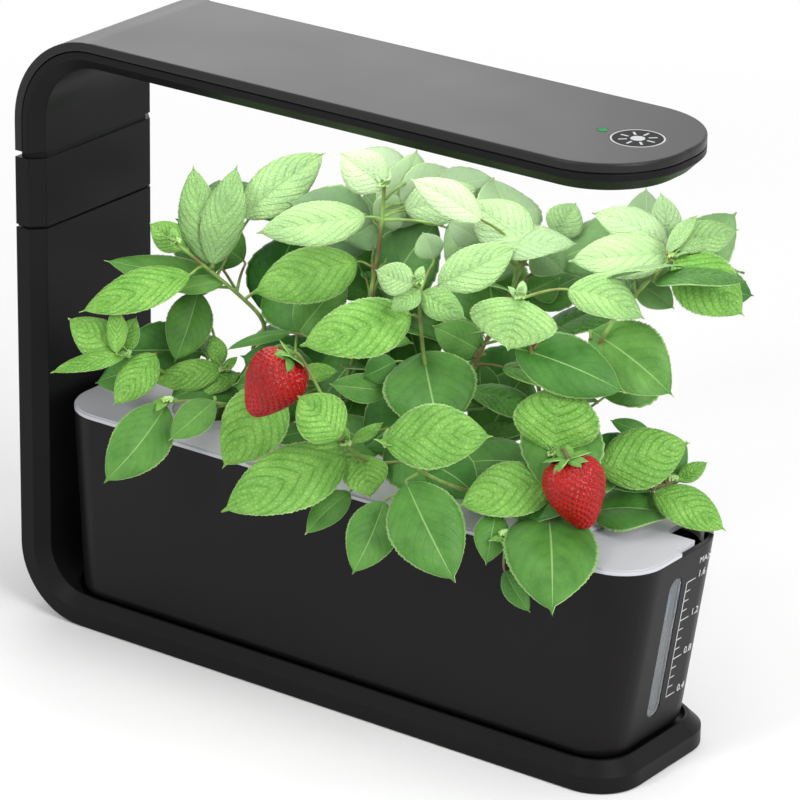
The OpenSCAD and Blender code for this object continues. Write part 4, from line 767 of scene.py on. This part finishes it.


# ---- strawberries ----

# Ripe skin: wet-looking and bright red on the ridges, with painted shade that darkens it to nearly black-red in
# the pits round the seeds
def berrySkin():
    material, tree, shader = newMaterial("ripeBerrySkin", 0.15, 1.45)
    shader.inputs["Specular IOR Level"].default_value = 0.34
    shader.inputs["Subsurface Weight"].default_value = 0.06
    shader.inputs["Subsurface Radius"].default_value = (1.0, 0.2, 0.1)
    shader.inputs["Subsurface Scale"].default_value = 1.5 * mm
    place = addNode(tree, "TexCoord").outputs["Object"]
    cloud = addNode(tree, "TexNoise", {"Scale": 1 / (11 * mm), "Detail": 3.0}, {"Vector": place})
    tone = addNode(tree, "ValToRGB", {"stops": [(0.3, "#8d040a"), (0.7, "#ab0a11")]}, {"Fac": cloud})
    # Painted shade: the skin is mixed towards dark red the deeper a spot lies in its pit
    painted = addNode(tree, "Attribute", {"attribute_name": "pitDepth"})
    pitShadeMask = addNode(tree, "SeparateColor", {}, {"Color": painted})
    sunk = addNode(tree, "MapRange", {"From Min": 0.3, "From Max": 0.9, "To Max": 0.85}, {"Value": pitShadeMask})
    skin = addNode(tree, "Mix", {"data_type": "RGBA", 7: toLinear("#4c0307")}, {0: sunk, 6: tone}).outputs[2]
    tree.links.new(skin, shader.inputs["Base Color"])
    return material


def seedShell():
    material, tree, shader = newMaterial("seedShell", 0.35, 1.5)
    place = addNode(tree, "TexCoord").outputs["Object"]
    speck = addNode(tree, "TexNoise", {"Scale": 1 / (3 * mm)}, {"Vector": place})
    tone = addNode(tree, "ValToRGB", {"stops": [(0.3, "#8c2a18"), (0.7, "#c9823a")]}, {"Fac": speck})
    tree.links.new(tone.outputs[0], shader.inputs["Base Color"])
    return material


finish["ripeBerrySkin"] = berrySkin()
finish["seedShell"] = seedShell()

berries = {
    "strawberryLeft": {"node": "strawberry_left", "body": "pod_3", "middle": (-7.5, -60.9, 160.0),
                       "lean": -34, "foot": (33, -59, 138.4)},
    "strawberryRight": {"node": "strawberry_right", "body": "pod_4", "middle": (137.1, -29.8, 135.2),
                        "lean": 17, "foot": (116, -18, 141.4)},
}
berryForm = {
    # height above the middle and radius, from the flat top down to the point
    "profile": [(16.5, 0.0), (16.5, 4.0), (15.6, 8.6), (12.9, 12.2), (8.6, 14.0), (4.0, 13.9), (-1.0, 12.6),
                (-6.5, 9.9), (-11.5, 6.9), (-14.9, 4.3), (-16.2, 2.4), (-16.5, 0.0)],
    "seeds": 400, "seedTop": 16.3, "seedBottom": -15.8, "seedSize": (0.2, 0.26, 0.46), "seedSunk": 0.78,
    "golden": 2.39996, "dimple": 1.0, "dimpleReach": 1.3,
    "axis": (0.543, -0.756, 0.365),  # the berry leans about this line, which points at the camera
    "lengthCuts": 8, "turnSteps": 168, "smoothings": 3,
    "sepals": 10, "crownHeight": 16.9, "sepalReach": (8.5, 11.5), "sepalRise": (-3.0, 3.5),
    "sepalWidth": (4.2, 5.4), "sepalThick": 0.3, "sepalShift": 0.15, "sepalTurn": 0.3, "sepalCells": (6, 18),
    "stalkHeights": (20, 22), "stalkHump": 4, "stalkRadii": [1.0, 0.85, 0.8, 0.8, 0.9],
}


def berryRadius(z):
    rows = berryForm["profile"]
    for (za, ra), (zb, rb) in zip(rows, rows[1:]):
        if zb <= z <= za and za > zb:
            return ra + (rb - ra) * (za - z) / (za - zb)
    return 0.0


# Heights that share the skin's area evenly between the seeds, from the shoulder to the point
def seedHeights():
    f = berryForm
    steps = 400
    heights = [f["seedTop"] + (f["seedBottom"] - f["seedTop"]) * k / steps for k in range(steps + 1)]
    areas = [0.0]
    for za, zb in zip(heights, heights[1:]):
        ra, rb = berryRadius(za), berryRadius(zb)
        areas.append(areas[-1] + (ra + rb) / 2 * math.hypot(za - zb, ra - rb))
    out, k = [], 0
    for n in range(f["seeds"]):
        while areas[k + 1] < (n + 0.5) / f["seeds"] * areas[-1]:
            k += 1
        out.append(heights[k])
    return out


def makeBerry(name, b):
    f = berryForm
    lean = Matrix.Rotation(math.radians(b["lean"]), 4, Vector(f["axis"]))
    turn = Matrix.Translation(Vector(b["middle"]) * mm) @ lean
    seeds = []
    for n, z in enumerate(seedHeights()):
        a = n * f["golden"]
        r = berryRadius(z)
        slope = math.atan2(berryRadius(z + 0.6) - berryRadius(z - 0.6), 1.2)
        out = Vector((math.cos(a) * math.cos(slope), math.sin(a) * math.cos(slope), -math.sin(slope)))
        seeds.append((Vector((r * math.cos(a), r * math.sin(a), z)), out))
    bm = bmesh.new()
    ring = [bm.verts.new((r, 0, z)) for z, r in f["profile"]]
    edges = [bm.edges.new(pair) for pair in zip(ring, ring[1:])]
    bmesh.ops.subdivide_edges(bm, edges=edges, cuts=f["lengthCuts"])
    bmesh.ops.spin(bm, geom=bm.verts[:] + bm.edges[:], cent=(0, 0, 0), axis=(0, 0, 1), angle=math.tau,
                   steps=f["turnSteps"], use_merge=True)
    bmesh.ops.remove_doubles(bm, verts=bm.verts, dist=1e-4)
    for _ in range(f["smoothings"]):
        bmesh.ops.smooth_vert(bm, verts=bm.verts, factor=0.5, use_axis_x=True, use_axis_y=True,
                              use_axis_z=True)
    near = KDTree(len(seeds))
    for n, (place, out) in enumerate(seeds):
        near.insert(place, n)
    near.balance()
    # Each spot's pit depth is kept for the painted shade in the pits
    pitShadeLayer = bm.verts.layers.float_color.new("pitDepth")
    for vert in bm.verts:
        place, n, away = near.find(vert.co)
        depth = 0.5 + 0.5 * math.cos(math.pi * min(1.0, away / f["dimpleReach"]))
        vert.co -= seeds[n][1] * f["dimple"] * depth
        vert[pitShadeLayer] = (depth, depth, depth, 1.0)
    bmesh.ops.recalc_face_normals(bm, faces=bm.faces)
    bmesh.ops.scale(bm, vec=(mm, mm, mm), verts=bm.verts)
    bmesh.ops.transform(bm, matrix=turn, verts=bm.verts)
    skin = finishPiece(bm, name, finish["ripeBerrySkin"], b["body"])
    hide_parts(b["node"])
    bm = bmesh.new()
    for place, out in seeds:
        made = bmesh.ops.create_uvsphere(bm, u_segments=8, v_segments=6, radius=1.0)["verts"]
        facing = out.to_track_quat("X", "Z").to_matrix().to_4x4()
        bmesh.ops.scale(bm, vec=f["seedSize"], verts=made)
        bmesh.ops.transform(bm, matrix=Matrix.Translation(place - out * f["seedSunk"]) @ facing, verts=made)
    bmesh.ops.scale(bm, vec=(mm, mm, mm), verts=bm.verts)
    bmesh.ops.transform(bm, matrix=turn, verts=bm.verts)
    finishPiece(bm, name + "Seeds", finish["seedShell"], b["body"])
    bm = bmesh.new()
    bm.loops.layers.uv.new("blade")
    toneLayer = bm.verts.layers.float_color.new("leafTone")
    crown = Vector((0, 0, f["crownHeight"])) * mm
    for n in range(f["sepals"]):
        a = n * math.tau / f["sepals"] + rng.uniform(-f["sepalShift"], f["sepalShift"])
        reach, rise = rng.uniform(*f["sepalReach"]), rng.uniform(*f["sepalRise"])
        tip = Vector((reach * math.cos(a), reach * math.sin(a), f["crownHeight"] + rise)) * mm
        width = rng.uniform(*f["sepalWidth"]) * mm
        turned = turnedSide(crown, tip, rng.uniform(-f["sepalTurn"], f["sepalTurn"]))
        growLeaf(bm, toneLayer, crown, tip, width, turned, 0.5, True, f["sepalCells"])
    bmesh.ops.transform(bm, matrix=turn, verts=bm.verts)
    calyx = finishPiece(bm, name + "Calyx", finish["livingLeaf"], b["body"])
    wall = calyx.modifiers.new("sepalThickness", "SOLIDIFY")
    wall.thickness, wall.offset = f["sepalThick"] * mm, 0.0
    stalk = shootCurve(name + "Stalk")
    neck, head = (turn @ (Vector((0, 0, height)) * mm) for height in f["stalkHeights"])
    foot = Vector(b["foot"]) * mm
    hump = (head + foot) / 2 + Vector((0, 0, f["stalkHump"] * mm))
    addShoot(stalk, [turn @ crown, neck, head, hump, foot], f["stalkRadii"])
    curveToPiece(stalk, name + "Stalk", finish["greenShoot"], b["body"])
    print(name, "made")


for name, b in berries.items():
    makeBerry(name, b)


# ---- floor, lights, camera ----

studio = {
    "floor": "#f4f4f4", "floorNear": 0.4, "floorFar": 1.0, "worldLight": 0.55,
    "keyPlace": (1.7, -0.5, 1.1), "keySize": 1.2, "keyPower": 30,
    "fillPlace": (-0.4, -1.8, 1.3), "fillSize": 0.6, "fillPower": 14,
    "backPlace": (-1.4, 1.5, 1.03), "backSize": 1.1, "backPower": 4.0,
    "topPlace": (0.1, 0.5, 2.6), "topSize": 2.4, "topPower": 15,
    "aim": (0, 0, 0.12), "floorSize": 6.0,
}


# The share of rays that see the white backdrop: the camera's, and those in gloss and glass
def seenShare(tree):
    ray = addNode(tree, "LightPath")
    clear = addNode(tree, "Math", {"operation": "MAXIMUM"},
                    {0: ray.outputs["Is Camera Ray"], 1: ray.outputs["Is Transmission Ray"]})
    return addNode(tree, "Math", {"operation": "MAXIMUM"}, {0: clear, 1: ray.outputs["Is Glossy Ray"]})


def makeStudio():
    s = studio
    world = bpy.data.worlds.new("studioWorld")
    bpy.context.scene.world = world
    world.use_nodes = True
    tree = world.node_tree
    lit = tree.nodes["Background"]
    lit.inputs["Color"].default_value = toLinear("#ffffff")
    lit.inputs["Strength"].default_value = s["worldLight"]
    # The camera, glass and gloss see a plain white backdrop
    seen = addNode(tree, "Background", {"Color": toLinear("#ffffff"), "Strength": 1.0})
    mix = addNode(tree, "MixShader", {}, {"Fac": seenShare(tree), 1: lit, 2: seen})
    tree.links.new(mix.outputs[0], tree.nodes["World Output"].inputs["Surface"])
    bm = bmesh.new()
    bmesh.ops.create_grid(bm, x_segments=4, y_segments=4, size=s["floorSize"])
    mesh = bpy.data.meshes.new("floor")
    bm.to_mesh(mesh)
    bm.free()
    floor = bpy.data.objects.new("floor", mesh)
    bpy.context.scene.collection.objects.link(floor)
    material, tree, shader = newMaterial("paleFloor", 0.9)
    shader.inputs["Base Color"].default_value = toLinear(s["floor"])
    shader.inputs["Specular IOR Level"].default_value = 0.1
    # Past the object's shadow the floor turns into the backdrop
    place = addNode(tree, "TexCoord").outputs["Object"]
    away = addNode(tree, "VectorMath", {"operation": "LENGTH"}, {0: place})
    far = addNode(tree, "MapRange", {"From Min": s["floorNear"], "From Max": s["floorFar"]},
                  {"Value": away.outputs["Value"]})
    share = addNode(tree, "Math", {"operation": "MULTIPLY"}, {0: far, 1: seenShare(tree)})
    backdrop = addNode(tree, "Emission", {"Color": toLinear("#ffffff"), "Strength": 1.0})
    both = addNode(tree, "MixShader", {}, {"Fac": share, 1: shader, 2: backdrop})
    tree.links.new(both.outputs[0], tree.nodes["Material Output"].inputs["Surface"])
    mesh.materials.append(material)
    for name in ("key", "fill", "back", "top"):
        lamp = bpy.data.lights.new(name, "AREA")
        lamp.shape = "DISK"
        lamp.size = s[name + "Size"]
        lamp.energy = s[name + "Power"]
        holder = bpy.data.objects.new(name, lamp)
        bpy.context.scene.collection.objects.link(holder)
        holder.location = s[name + "Place"]
        holder.rotation_mode = "QUATERNION"
        holder.rotation_quaternion = (Vector(s["aim"]) - holder.location).to_track_quat("-Z", "Y")


makeStudio()

view = {
    "place": (1.1428, -1.5658, 0.9145), "azimuth": 0.6222, "elevation": 0.3818, "roll": 0.0171,
    "lens": 205.625,
}


def makeCamera():
    v = view
    ca, sa = math.cos(v["azimuth"]), math.sin(v["azimuth"])
    ce, se = math.cos(v["elevation"]), math.sin(v["elevation"])
    back = Vector((sa * ce, -ca * ce, se))
    right = Vector((ca, sa, 0))
    up = back.cross(right)
    cr, sr = math.cos(v["roll"]), math.sin(v["roll"])
    right, up = right * cr + up * sr, up * cr - right * sr
    data = bpy.data.cameras.new("photoView")
    data.lens, data.sensor_width = v["lens"], 36.0
    data.clip_start, data.clip_end = 0.1, 30.0
    camera = bpy.data.objects.new("photoView", data)
    bpy.context.scene.collection.objects.link(camera)
    camera.matrix_world = Matrix.Translation(v["place"]) @ Matrix((right, up, back)).transposed().to_4x4()
    bpy.context.scene.camera = camera


makeCamera()
bpy.context.scene.view_settings.view_transform = "Standard"

print("done")
